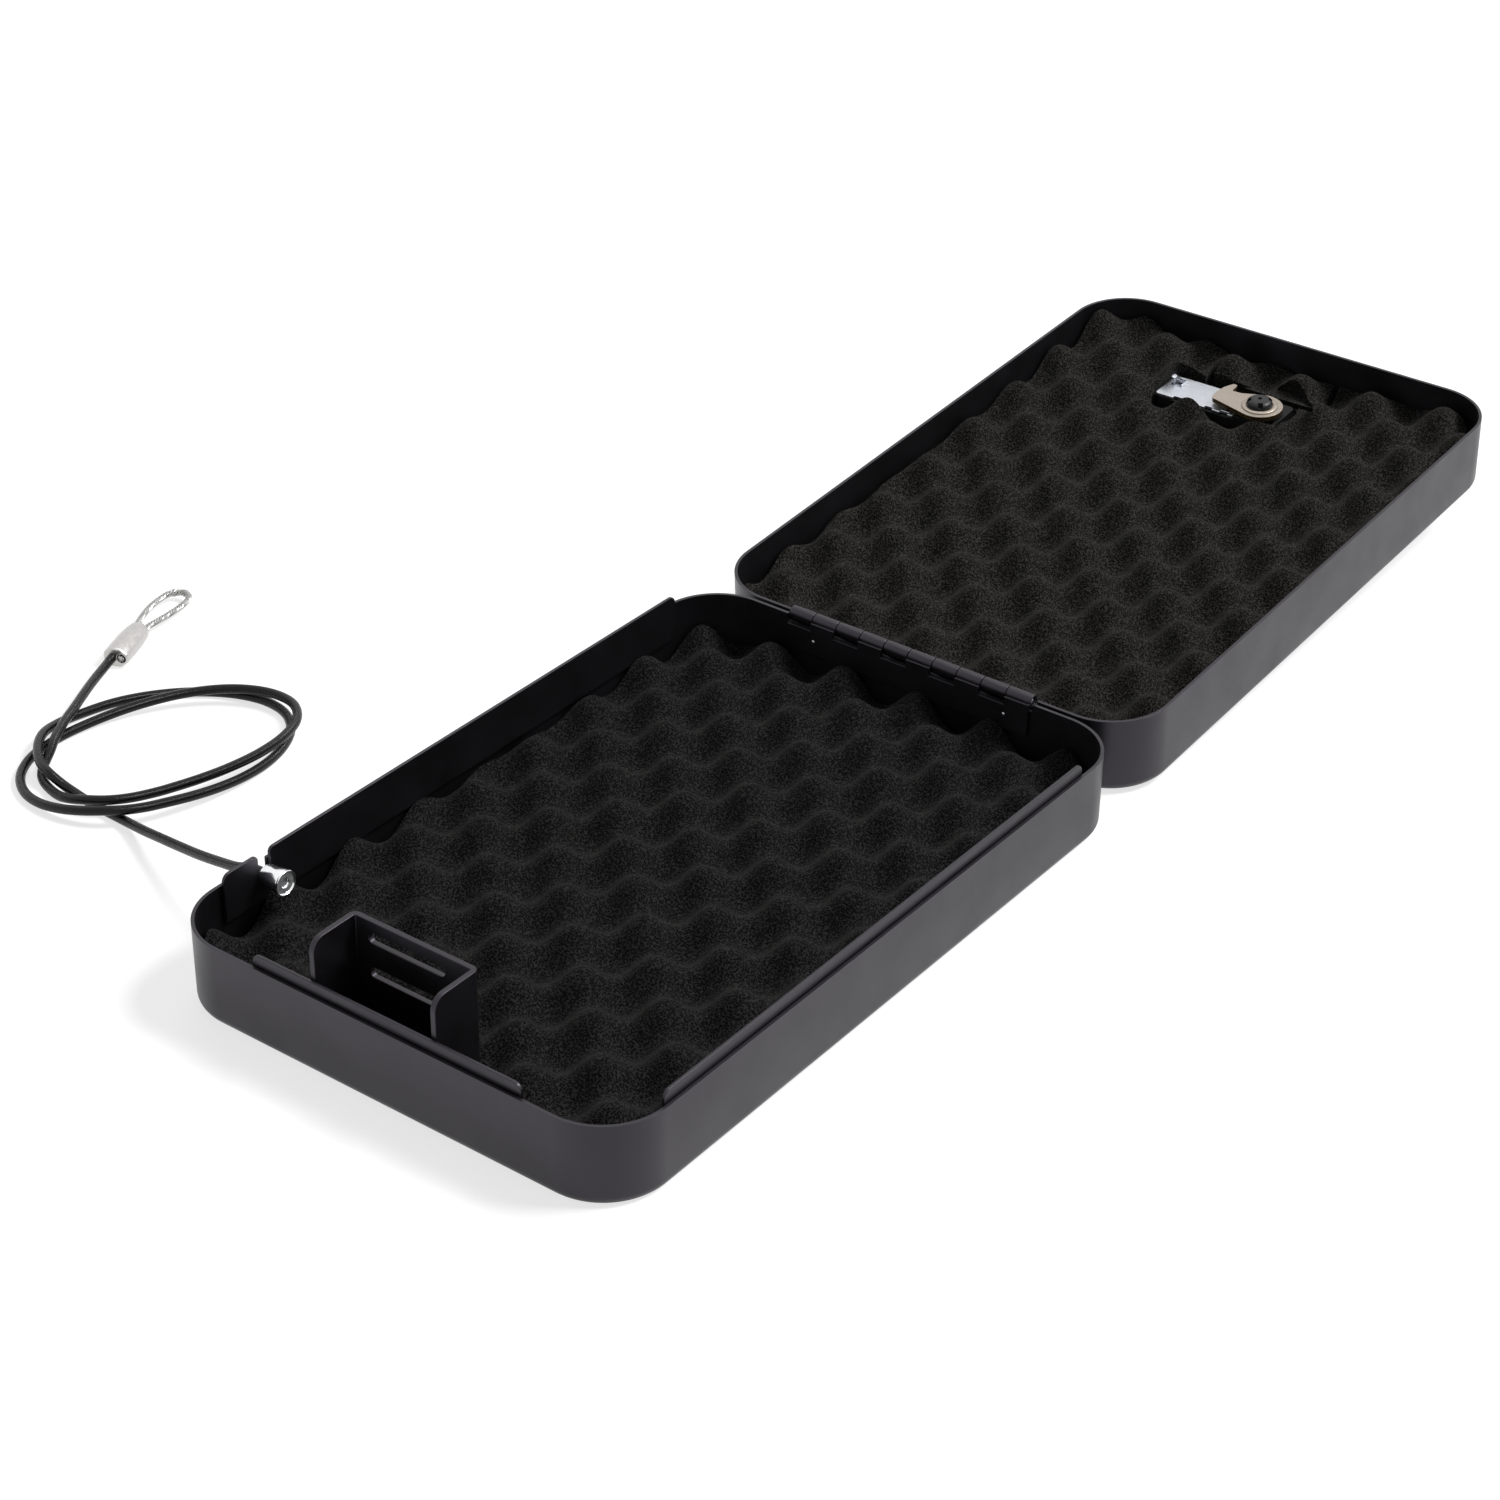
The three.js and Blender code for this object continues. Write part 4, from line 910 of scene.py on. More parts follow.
stopTurning = {
    "neck": 3.5,
    "face": 4.5,
    "flareShare": 0.86,  # of the way from neck to face where the flare ends
    "flareEnd": 1.1,
    "lip": (0.75, 0.5),
    "rim": 0.5,
    "recess": 0.5,
    "dimple": 1.5,
    "dimpleDepth": 1.0,
    "facedFrom": 0.7,  # least slope of a face towards the end that is faced
    "round": 0.2,
}


def addStop(settings):
    low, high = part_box("cable_stop")
    length = high.x - low.x
    edge = settings["round"] * mm
    neck, wide, rim = (settings[key] * mm for key in ("neck", "face", "rim"))
    floor = length - settings["recess"] * mm
    dimple = settings["dimple"] * mm
    pit = length - settings["dimpleDepth"] * mm
    flare = (neck + (wide - neck) * settings["flareShare"], length - settings["flareEnd"] * mm)
    lipStart, lipEnd = (length - reach * mm for reach in settings["lip"])
    mesh = turned("stop", [
        (0, 0), (neck - edge, 0), (neck, edge), flare,
        (wide - edge, lipStart), (wide, lipEnd), (wide, length - edge),
        (wide - edge, length), (wide - rim + edge, length), (wide - rim, length - edge),
        (wide - rim - edge, floor), (dimple + 2 * edge, floor + edge / 2), (dimple + edge, floor - edge / 2),
        (dimple, pit), (dimple / 2, pit - edge / 2), (0, pit - edge),
    ], segments=72)
    axis = Vector((low.x, (low.y + high.y) / 2, (low.z + high.z) / 2))
    mesh.transform(Matrix.Translation(axis) @ Matrix.Rotation(quarterTurn, 4, "Y"))
    addPiece("cable_stop_end", mesh, "base", polishedChrome, ("cable_stop",), sharpest=40)
    mesh.materials.append(facedEnd)  # the end is faced, not polished
    for face in mesh.polygons:
        fromAxis = Vector((0, face.center.y - axis.y, face.center.z - axis.z)).length
        if face.normal.x > settings["facedFrom"] and fromAxis < wide - rim:
            face.material_index = 1


addStop(stopTurning)


# pressed shells

shell = {
    "corner": 23.7,
    "edge": 4.0,
    "sheet": 1.2,
    "rimRound": 0.32,
    "cornerSteps": 22,
    "edgeSteps": 7,
    "straightSteps": 6,
    "hingeClear": 0.6,
    "barrel": 2.5,  # radius of the hinge's knuckles
    "pastPin": 0.5,
    "slotWidth": 5.3,
    "slotRise": 0.3,
    "slotSteps": 14,
    "dialPocketPast": (1.5, 2),
    "dialPocketCorner": 0.4,
}
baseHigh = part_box("base_tray")[1]
shellHalf = Vector((baseHigh.x, baseHigh.y))
shellHeight = baseHigh.z
pinLow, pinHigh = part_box("hinge_pin")
hingeSpan = (pinLow.x - shell["pastPin"] * mm, pinHigh.x + shell["pastPin"] * mm)
hingeNotchFloor = hingeAt.z - (shell["barrel"] + shell["hingeClear"]) * mm


def perimeter(notches):  # columns round the shell: place, outward direction and rim height
    corner = shell["corner"] * mm
    run = [shellHalf.x - corner, shellHalf.y - corner]
    sides = (  # start, end, outward direction of the straights, counter-clockwise from +X
        ("right", Vector((shellHalf.x, -run[1])), Vector((shellHalf.x, run[1])), Vector((1, 0))),
        ("rear", Vector((run[0], shellHalf.y)), Vector((-run[0], shellHalf.y)), Vector((0, 1))),
        ("left", Vector((-shellHalf.x, run[1])), Vector((-shellHalf.x, -run[1])), Vector((-1, 0))),
        ("front", Vector((-run[0], -shellHalf.y)), Vector((run[0], -shellHalf.y)), Vector((0, -1))),
    )
    columns = []
    steps = shell["straightSteps"]
    for name, start, end, outward in sides:
        length = (end - start).length
        along = (end - start).normalized()
        stops = [(length * step / steps, shellHeight) for step in range(steps + 1)]
        for notchSide, notch in notches:
            if notchSide == name:
                inside = [((place - start).dot(along), top) for place, top in notch]
                inside.sort(key=lambda stop: stop[0])
                low, high = inside[0][0], inside[-1][0]
                stops = [stop for stop in stops if not low <= stop[0] <= high]
                stops += [(low, shellHeight), *inside, (high, shellHeight)]
                stops.sort(key=lambda stop: stop[0])
        for distance, top in stops:
            columns.append((start + (end - start) * distance / length, outward, top))
        centre = end - outward * corner
        begin = math.atan2(outward.y, outward.x)
        for step in range(1, shell["cornerSteps"]):
            angle = begin + quarterTurn * step / shell["cornerSteps"]
            direction = Vector((math.cos(angle), math.sin(angle)))
            columns.append((centre + direction * corner, direction, shellHeight))
    return columns


def edgeBend(inset, radius):  # how far in and up the pressed edge runs, from the floor to the wall
    steps = shell["edgeSteps"]
    turns = [quarterTurn * step / steps for step in range(steps + 1)]
    return [(inset + radius * (1 - math.sin(turn)), inset + radius * (1 - math.cos(turn))) for turn in turns]


def shellMesh(name, notches):
    columns = perimeter(notches)
    sheet = shell["sheet"] * mm
    edge = shell["edge"] * mm
    floors = sorted({top for _, _, top in columns})
    levels = [(inset, height, False) for inset, height in edgeBend(0, edge)]
    levels += [(0, floor, True) for floor in floors]
    levels += [(sheet, floor, True) for floor in reversed(floors)]
    levels += [(inset, height, False) for inset, height in reversed(edgeBend(sheet, edge - sheet))]
    rings = []
    for inset, height, clamped in levels:
        rings.append([
            Vector((*(place - outward * inset), min(height, top) if clamped else height))
            for place, outward, top in columns
        ])
    return ringSkin(name, rings)


def squareNotch(side):  # the clearance for the hinge barrel
    y = shellHalf.y * side
    left = hingeSpan[0] - shell["hingeClear"] * mm
    right = hingeSpan[1] + shell["hingeClear"] * mm
    return [(Vector((left, y)), hingeNotchFloor), (Vector((right, y)), hingeNotchFloor)]


def roundNotch(x):  # the slot with a round bottom that the cable drops into
    low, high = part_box("cable_stop")
    middle = Vector((0, (low.y + high.y) / 2, (low.z + high.z) / 2 + shell["slotRise"] * mm))
    bottom = arc(middle.yz, shell["slotWidth"] * mm / 2, 0, -math.pi, shell["slotSteps"])
    return [(Vector((x, y)), z) for y, z in bottom]


def addShells():
    rim = shell["rimRound"] * mm
    baseMesh = shellMesh("baseTray", [("rear", squareNotch(1)), ("left", roundNotch(-shellHalf.x))])
    addPiece("base_shell", baseMesh, "base", powderCoat, ("base_tray",), bevel=rim)
    lidMesh = shellMesh("lidTray", [("front", squareNotch(-1))])
    caseFace = lidBox("lock_case")[0].z
    low, high = lidBox("dial_1")[0], lidBox("dial_3")[1]
    left, right = (reach * mm for reach in shell["dialPocketPast"])
    outline = roundedOutline(
        (low.x - left, low.y - seatGap), (high.x + right, high.y + seatGap), shell["dialPocketCorner"] * mm,
    )
    cutters = [
        slab("lidPocket", outline, -cutPast, caseFace),
        moved(plug("lidBore", spindleBore, -cutPast, caseFace, 48), (spindleAt.x, spindleAt.y, 0)),
    ]
    lidMesh = boolean(lidMesh, cutters)
    addPiece("lid_shell", lidMesh, "lid", powderCoat, ("lid_tray",), bevel=rim, own=True)


addShells()
print("shells made")

strip = {"corner": 3.0, "notchCorner": 2.0, "round": 0.3}


def stripOutline(low, high, corner):
    return [
        (low[0], low[1]), (high[0], low[1]),
        *arc((high[0] - corner, high[1] - corner), corner, 0, quarterTurn),
        *arc((low[0] + corner, high[1] - corner), corner, quarterTurn, 2 * quarterTurn),
    ]


def addStrips(settings):
    corner = settings["corner"] * mm
    edge = settings["round"] * mm
    low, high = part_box("front_lip_strip")
    mesh = standingSlab("frontStrip", stripOutline((low.x, low.z), (high.x, high.z), corner), low.y, high.y)
    addPiece("front_strip", mesh, "base", powderCoat, ("front_lip_strip",), bevel=edge)
    low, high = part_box("right_lip_strip")
    mesh = sideSlab("rightStrip", stripOutline((low.y, low.z), (high.y, high.z), corner), low.x, high.x)
    addPiece("right_strip", mesh, "base", powderCoat, ("right_lip_strip",), bevel=edge)
    low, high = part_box("left_lip_strip")
    small = settings["notchCorner"] * mm
    notch = [(place.y, height) for place, height in roundNotch(low.x)]
    notchRear = max(y for y, _ in notch)
    notchFront = min(y for y, _ in notch)
    outline = [
        (low.y, low.z), (high.y, low.z),
        *arc((high.y - corner, high.z - corner), corner, 0, quarterTurn),
        *arc((notchRear + small, high.z - small), small, quarterTurn, 2 * quarterTurn),
        *notch,
        *arc((notchFront - small, high.z - small), small, 0, quarterTurn),
        *arc((low.y + corner, high.z - corner), corner, quarterTurn, 2 * quarterTurn),
    ]
    mesh = sideSlab("leftStrip", outline, low.x, high.x)
    addPiece("left_strip", mesh, "base", powderCoat, ("left_lip_strip",), bevel=edge)


addStrips(strip)

bracket = {
    "sheet": 2.0,
    "bend": 2.6,
    "corner": 5.0,
    "slotLength": 30.6,
    "slotHeight": 3.8,
    "slotSpacing": 12.8,
    "slotPastSpindle": 5.6,
    "slotFlat": 0.3,
    "camSheet": 2.0,
    "round": 0.35,
}


def addBracket(settings):
    low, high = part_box("latch_bracket")
    sheet = settings["sheet"] * mm
    bend = settings["bend"] * mm
    inside = bend - sheet
    plan = [
        (low.x, low.y), (low.x + sheet, low.y),
        *arc((low.x + bend, high.y - bend), inside, math.pi, quarterTurn, steps=5),
        *arc((high.x - bend, high.y - bend), inside, quarterTurn, 0, steps=5),
        (high.x - sheet, low.y), (high.x, low.y),
        *arc((high.x - bend, high.y - bend), bend, 0, quarterTurn),
        *arc((low.x + bend, high.y - bend), bend, quarterTurn, math.pi),
    ]
    channel = slab("channel", plan, low.z, high.z)
    corner = settings["corner"] * mm
    wing = [
        (low.y - cutPast, high.z + cutPast), (low.y - cutPast, high.z - corner),
        *arc((low.y + corner, high.z - corner), corner, math.pi, quarterTurn, steps=10),
        (low.y + corner, high.z + cutPast),
    ]
    cutters = [sideSlab("wingCorner", wing, low.x - cutPast, high.x + cutPast)]
    camMiddle = lidBox("hook_cam")[0].z + settings["camSheet"] * mm / 2
    right = spindleAt.x + settings["slotPastSpindle"] * mm
    left = right - settings["slotLength"] * mm
    half = settings["slotHeight"] * mm / 2
    slotCorner = half - settings["slotFlat"] * mm
    for drop in (0, settings["slotSpacing"] * mm):
        middle = 2 * hingeAt.z - camMiddle - drop
        outline = roundedOutline((left, middle - half), (right, middle + half), slotCorner, steps=5)
        cutters.append(standingSlab("slot", outline, high.y - sheet - cutPast, high.y + cutPast))
    mesh = boolean(channel, cutters)
    rim = settings["round"] * mm
    addPiece("latch_channel", mesh, "base", powderCoat, ("latch_bracket",), bevel=rim)


addBracket(bracket)
print("strips and bracket made")


# hinge

hinge = {
    "knuckles": 10,
    "pin": 1.1,
    "gap": 0.3,
    "sheet": 1.2,
    "foot": 17.6,
    "neckClear": 0.5,
    "round": 0.22,
    "roundShare": 0.3,
    "pinEnd": (0.55, 0.85, 0.2),  # of the pin's radius
    "weldSpots": ((-40.4, 23.0), (41.8, 23.1)),
    "weldRadius": 0.75,
    "weldProfile": ((0, 0.28), (0.35, 0.25), (0.7, 0.14), (1, -0.1), (0, -0.1)),  # radius share, height
}


def knuckle(start, end, side):  # a rolled barrel
    radius = shell["barrel"] * mm
    bore = (hinge["pin"] + hinge["gap"]) * mm
    edge = hinge["round"] * mm
    bulge = hinge["roundShare"] * edge
    length = end - start
    mesh = turnedRing("knuckle", [
        (bore, edge), (bore + edge, 0), (radius - edge, 0), (radius - bulge, bulge), (radius, edge),
        (radius, length - edge), (radius - bulge, length - bulge),
        (radius - edge, length), (bore + edge, length), (bore, length - edge),
    ], segments=40)
    place = Matrix.Translation((start, side * hingeAt.y, hingeAt.z))
    mesh.transform(place @ Matrix.Rotation(quarterTurn, 4, "Y"))
    return mesh


def leafMesh(name, side, parity):  # side is 1 for the base's rear wall and -1 for the lid's near wall
    gap = hinge["gap"] * mm
    sheet = hinge["sheet"] * mm
    inner = shellHalf.y - shell["sheet"] * mm - gap - sheet
    left, right = hingeSpan
    pitch = (right - left) / hinge["knuckles"]
    y, z = hingeAt.y, hingeAt.z
    outline = [(left + gap, hinge["foot"] * mm), (right - gap, hinge["foot"] * mm)]
    for index in reversed(range(hinge["knuckles"])):
        start = left + index * pitch
        if index % 2 == parity:
            outline += [(min(start + pitch - gap / 2, right - gap), z), (max(start + gap / 2, left + gap), z)]
        else:
            outline += [
                (min(start + pitch + gap / 2, right - gap), hingeNotchFloor),
                (max(start - gap / 2, left + gap), hingeNotchFloor),
            ]
    parts = [standingSlab(name, outline, side * inner, side * (inner + sheet))]
    neckFront = side * (inner + sheet / 2)
    neckRear = side * (y - (hinge["pin"] + hinge["neckClear"]) * mm)
    for index in range(parity, hinge["knuckles"], 2):
        start = left + index * pitch + gap / 2
        end = left + (index + 1) * pitch - gap / 2
        parts.append(knuckle(start, end, side))
        parts.append(standingSlab("neck", rectangle((start, z - sheet), (end, z)), neckFront, neckRear))
    return joined(name, parts)


def addHinge():
    edge = hinge["round"] * mm
    baseLeaf = leafMesh("baseLeaf", 1, 1)
    addPiece("base_leaf", baseLeaf, "base", powderCoat, ("hinge_base_leaf",), edge)
    lidLeaf = leafMesh("lidLeaf", -1, 0)
    addPiece("lid_leaf", lidLeaf, "lid", powderCoat, ("hinge_lid_leaf",), edge, own=True)
    radius = hinge["pin"] * mm
    length = pinHigh.x - pinLow.x
    flat, shoulder, bulge = (radius * share for share in hinge["pinEnd"])
    pin = turned("pin", [
        (0, 0), (flat, 0), (shoulder, bulge), (radius, flat),
        (radius, length - flat), (shoulder, length - bulge), (flat, length), (0, length),
    ], segments=32)
    pin.transform(Matrix.Translation((pinLow.x, hingeAt.y, hingeAt.z)) @ Matrix.Rotation(quarterTurn, 4, "Y"))
    addPiece("hinge_rod", pin, "base", brightSteel, ("hinge_pin",))
    inner = shellHalf.y - (shell["sheet"] + hinge["gap"] + hinge["sheet"]) * mm
    size = hinge["weldRadius"] * mm
    spots = []
    for x, z in hinge["weldSpots"]:
        profile = [(size * share, height * mm) for share, height in hinge["weldProfile"]]
        spot = turned("weldSpot", profile, segments=24)
        spot.transform(Matrix.Translation((x * mm, inner, z * mm)) @ Matrix.Rotation(quarterTurn, 4, "X"))
        spots.append(spot)
    # painted highlight: the weld spots are powder-coated like the leaf, but here they get bright bare steel
    # so that they show as small bright dots
    addPiece("weld_spots_painted_glint", joined("weldSpots", spots), "base", brightSteel)


addHinge()
print("hinge made")


# egg-crate foam

foam = {
    "middle": 13.6,
    "swing": 5.8,
    "pitchAcross": 31.2,
    "pitchAlong": 33.8,
    "grid": 1.1,
    "inset": 3.0,
    "corner": 20.7,
    "margin": 2,  # the block runs this far past its outline
    "floor": 1.5,
    "cutFrom": -5,
    "unevenness": 0.35,
    "noises": ((0.045, 1, 0), (0.19, 0.5, 4)),  # scale, share and change of seed
    "sharpening": 0.06,
    "meanSquare": 0.25,  # of the wave, so that the sharpening keeps the mean height
    "baseCrest": (14.9, 0.6),
    "baseTurn": 3.5,
    "lidCrest": (12.8, -7.2),
    "lidTurn": 2.0,
    "lidRise": {"sides": 4.7, "near": 1.3, "far": 4.1},  # the lining rides up its walls
    "bracketClear": 0.8,
    "slitClear": 0.4,
    "slitUnder": 1.4,
    "lockPast": ((1.3, 5.2), (2.6, 1.3)),
    "pocketCorner": 6.0,
    "sweepClear": 1.6,
}


def edgeRise(rise, x, y):
    mean = (rise["far"] + rise["near"]) / 2
    tilt = (rise["far"] - rise["near"]) / 2
    return rise["sides"] * x * x + mean * y * y + tilt * y


def eggCrateBlock(name, crest, turn, seed, rise=None):
    grid = foam["grid"]
    margin = foam["margin"]
    reachX = shellHalf.x / mm - foam["inset"] + margin
    reachY = shellHalf.y / mm - foam["inset"] + margin
    countX = math.ceil(2 * reachX / grid)
    countY = math.ceil(2 * reachY / grid)
    cosine = math.cos(math.radians(turn))
    sine = math.sin(math.radians(turn))
    points = []
    for row in range(countX + 1):
        for column in range(countY + 1):
            x = -reachX + row * grid
            y = -reachY + column * grid
            across = (x - crest[0]) * cosine + (y - crest[1]) * sine
            along = (y - crest[1]) * cosine - (x - crest[0]) * sine
            wave = (
                math.cos(fullTurn * across / foam["pitchAcross"])
                * math.cos(fullTurn * along / foam["pitchAlong"])
            )
            wave += foam["sharpening"] * (wave * wave - foam["meanSquare"])
            uneven = sum(
                share * noise.noise(Vector((x * scale, y * scale, seed + change)))
                for scale, share, change in foam["noises"]
            )
            height = foam["middle"] + foam["swing"] * wave + foam["unevenness"] * uneven
            if rise:
                height += edgeRise(rise, x / (reachX - margin), y / (reachY - margin))
            points.append(Vector((x, y, height)) * mm)
    columns = countY + 1
    faces = [
        (row * columns + column, (row + 1) * columns + column,
         (row + 1) * columns + column + 1, row * columns + column + 1)
        for row in range(countX) for column in range(countY)
    ]
    under = len(points)
    border = list(range(columns))
    border += [row * columns + countY for row in range(1, countX + 1)]
    border += [countX * columns + column for column in reversed(range(countY))]
    border += [row * columns for row in reversed(range(1, countX))]
    points += [Vector((points[index].x, points[index].y, 0)) for index in border]
    for order in range(len(border)):
        following = (order + 1) % len(border)
        faces.append((border[order], border[following], under + following, under + order))
    faces.append(tuple(under + order for order in range(len(border))))
    return meshFrom(name, points, faces)


def foamPrism():
    half = shellHalf - Vector((foam["inset"], foam["inset"])) * mm
    outline = roundedOutline((-half.x, -half.y), (half.x, half.y), foam["corner"] * mm, steps=16)
    return slab("foamPrism", outline, foam["floor"] * mm, farUp)


def addBaseFoam():
    low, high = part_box("latch_bracket")
    clear = foam["bracketClear"] * mm
    room = rectangle((low.x - clear, -shellHalf.y), (high.x + clear, high.y + clear))
    pocket = slab("bracketPocket", room, foam["cutFrom"] * mm, farUp)
    block = eggCrateBlock("baseFoam", foam["baseCrest"], foam["baseTurn"], seed=3)
    mesh = boolean(boolean(block, [pocket]), [foamPrism()], "INTERSECT")
    piece = addPiece("base_lining", mesh, "base", baseFoamFinish, ("base_foam",), sharpest=52)


def addLidFoam():
    low, high = lidBox("lock_case")
    (left, near), (right, far) = foam["lockPast"]
    outline = roundedOutline(
        (low.x - left * mm, low.y - near * mm), (high.x + right * mm, high.y + far * mm),
        foam["pocketCorner"] * mm, steps=10,
    )
    lockPocket = slab("lockPocket", outline, 0, farUp)
    camLow = lidBox("hook_cam")[0]
    clear = foam["sweepClear"] * mm
    swing = arc(spindleAt, spindleAt.x - camLow.x + clear, 0, math.pi, steps=40)
    sweep = slab("camSweep", swing, camLow.z - clear, farUp)
    # the closed bracket stands in this slit, mirrored over the hinge line
    low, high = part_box("latch_bracket")
    clear = foam["slitClear"] * mm
    floor = 2 * hingeAt.z - high.z - foam["slitUnder"] * mm
    sheet = bracket["sheet"] * mm
    near, far = -high.y - clear, -high.y + sheet + clear
    outside = (low.x - seatGap, high.x + seatGap)
    inside = (low.x + sheet + seatGap, high.x - sheet - seatGap)
    slit = slab("slit", [
        (outside[0], near), (outside[1], near), (outside[1], shellHalf.y), (inside[1], shellHalf.y),
        (inside[1], far), (inside[0], far), (inside[0], shellHalf.y), (outside[0], shellHalf.y),
    ], floor, farUp)
    block = eggCrateBlock("lidFoam", foam["lidCrest"], foam["lidTurn"], seed=11, rise=foam["lidRise"])
    mesh = boolean(boolean(block, [lockPocket, sweep, slit]), [foamPrism()], "INTERSECT")
    piece = addPiece("lid_lining", mesh, "lid", lidFoamFinish, ("lid_foam",), own=True, sharpest=52)


addBaseFoam()
addLidFoam()
print("foam made")


# lock: modelled in the lid's own frame, heights measured from the lid's outer face

dial = {
    "radius": 7.5,
    "flats": 10,
    "flatShare": 0.7,
    "flatPoints": (-1, -0.35, 0.35, 1),
    "notch": 0.6,
    "notchTurn": 0.03,
    "round": 0.25,
    "bore": 2.9,
    "digitSize": 3.6,
    "digitRaise": 0.06,
    "digitSeat": 0.976,
}


def dialMesh(low, high):
    outline = []
    radius = dial["radius"] * mm
    half = dial["flatShare"] * math.pi / dial["flats"]
    bottom = radius - dial["notch"] * mm
    for flat in range(dial["flats"]):
        middle = fullTurn * flat / dial["flats"]
        groove = middle + math.pi / dial["flats"]
        corners = [(radius, middle + half * share) for share in dial["flatPoints"]]
        corners += [(bottom, groove - dial["notchTurn"]), (bottom, groove + dial["notchTurn"])]
        outline += [(reach * math.cos(angle), reach * math.sin(angle)) for reach, angle in corners]
    wheel = slab("dial", outline, -(high.x - low.x) / 2, (high.x - low.x) / 2)
    mesh = boolean(wheel, [plug("dialBore", dial["bore"] * mm, -longCut, longCut, 32)])
    mesh.transform(Matrix.Rotation(quarterTurn, 4, "Y"))
    return mesh


def digitMesh(digit):
    curve = bpy.data.curves.new("digit", "FONT")
    curve.body = str(digit)
    curve.size = dial["digitSize"] * mm
    curve.extrude = dial["digitRaise"] * mm / 2
    curve.align_x = "CENTER"
    curve.align_y = "CENTER"
    holder = bpy.data.objects.new("digit", curve)
    bpy.context.scene.collection.objects.link(holder)
    seen = holder.evaluated_get(bpy.context.evaluated_depsgraph_get())
    mesh = bpy.data.meshes.new_from_object(seen)
    bpy.data.objects.remove(holder)
    bpy.data.curves.remove(curve)
    return mesh


def addDials():
    bodies = ("dial_one", "dial_two", "dial_three")
    for index, body in enumerate(bodies):
        node = f"dial_{index + 1}"
        low, high = lidBox(node)
        centre = (low + high) / 2
        mesh = moved(dialMesh(low, high), centre)
        addPiece(
            f"number_wheel_{index + 1}", mesh, body, blackPlastic, (node,),
            bevel=dial["round"] * mm, own=True, sharpest=28,
        )
        digits = []
        for digit in range(dial["flats"]):
            figure = digitMesh(digit)
            # read from outside the closed lid, with the next number below
            figure.transform(
                Matrix.Translation(centre)
                @ Matrix.Rotation(fullTurn * digit / dial["flats"] - quarterTurn, 4, "X")
                @ Matrix.Translation((0, 0, dial["radius"] * dial["digitSeat"] * mm))
                @ Matrix.Rotation(math.pi, 4, "Z")
            )
            digits.append(figure)
        numbers = joined("numbers", digits)
        addPiece(f"wheel_numbers_{index + 1}", numbers, body, whitePaint, own=True)


bezel = {"corner": 4.0, "round": 0.6, "windowClear": 0.3, "windowCorner": 0.5}


def addBezel(settings):
    low, high = lidBox("lock_bezel")
    plate = slab("bezel", roundedOutline(low, high, settings["corner"] * mm, steps=10), low.z, high.z)
    clear = settings["windowClear"] * mm
    corner = settings["windowCorner"] * mm
    cutters = []
    for index in range(3):
        dialLow, dialHigh = lidBox(f"dial_{index + 1}")
        middle = (dialLow + dialHigh) / 2
        drop = middle.z - high.z
        half = math.sqrt((dial["radius"] * mm) ** 2 - drop ** 2) + clear
        outline = roundedOutline(
            (dialLow.x - clear, middle.y - half), (dialHigh.x + clear, middle.y + half), corner, steps=4,
        )
        cutters.append(slab("window", outline, low.z - cutPast, high.z + cutPast))
    bore = plug("bezelBore", spindleBore, -longCut, longCut, 40)
    cutters.append(moved(bore, (spindleAt.x, spindleAt.y, 0)))
    mesh = boolean(plate, cutters)
    addPiece(
        "lock_face", mesh, "lid", blackCasting, ("lock_bezel",),
        bevel=settings["round"] * mm, segments=3, own=True,
    )


knob = {
    "radius": 8.5,
    "flutes": 12,
    "fluteDepth": 0.65,
    "chamfer": 0.6,
    "steps": 8,
    "profile": (  # share of the height, inset in chamfers, further inset in mm, share of the flutes
        (1, 1.5, 0, 0), (0.985, 0.2, 0, 0), (0.9, 0, 0, 0), (0.8, 0, 0, 0.15), (0.74, 0, 0, 0.85),
        (0.68, 0, 0, 1), (0.08, 0, 0, 1), (0.045, 0.12, 0, 1), (0.015, 0.5, 0, 0.8), (0, 1, 0, 0.5),
        (0, 1, 1.2, 0.2), (0.03, 1, 1.7, 0), (0.035, 1, 2.6, 0),
    ),
    "socketDepth": 8,
    "pointerWidth": 0.9,
    "pointerFrom": 2.4,
    "pointerDepth": 0.45,
    "paintShare": 0.8,
    "paintFrom": 2.6,
    "paintInset": 0.8,
    "paintHeights": (0.2, 0.5),
}


def addKnob(settings):
    low, high = lidBox("turn_knob")
    radius = settings["radius"] * mm
    around = settings["flutes"] * settings["steps"]
    rings = []
    for heightShare, chamfers, further, flute in settings["profile"]:
        shrink = chamfers * settings["chamfer"] * mm + further * mm
        height = low.z + (high.z - low.z) * heightShare
        ring = []
        for step in range(around):
            angle = fullTurn * (step + 0.5) / around
            dip = (0.5 - 0.5 * math.cos(angle * settings["flutes"] + math.pi)) ** 2
            reach = radius - shrink - flute * dip * settings["fluteDepth"] * mm
            ring.append(Vector((reach * math.cos(angle), reach * math.sin(angle), height)))
        rings.append(ring)
    hole = plug("knobSocket", spindleBore, high.z - settings["socketDepth"] * mm, high.z + cutPast, 40)
    width = settings["pointerWidth"] * mm / 2
    line = rectangle((-radius - cutPast, -width), (-settings["pointerFrom"] * mm, width))
    groove = slab("pointer", line, low.z - cutPast, low.z + settings["pointerDepth"] * mm)
    mesh = moved(boolean(ringSkin("knob", rings), [hole, groove]), (spindleAt.x, spindleAt.y, 0))
    addPiece("knob_grip", mesh, "knob", blackPlastic, ("turn_knob",), own=True, sharpest=30)
    width *= settings["paintShare"]
    line = rectangle((-radius + settings["paintInset"] * mm, -width), (-settings["paintFrom"] * mm, width))
    under, over = (low.z + height * mm for height in settings["paintHeights"])
    fill = moved(slab("pointerPaint", line, under, over), (spindleAt.x, spindleAt.y, 0))
    addPiece("knob_pointer", fill, "knob", whitePaint, own=True)


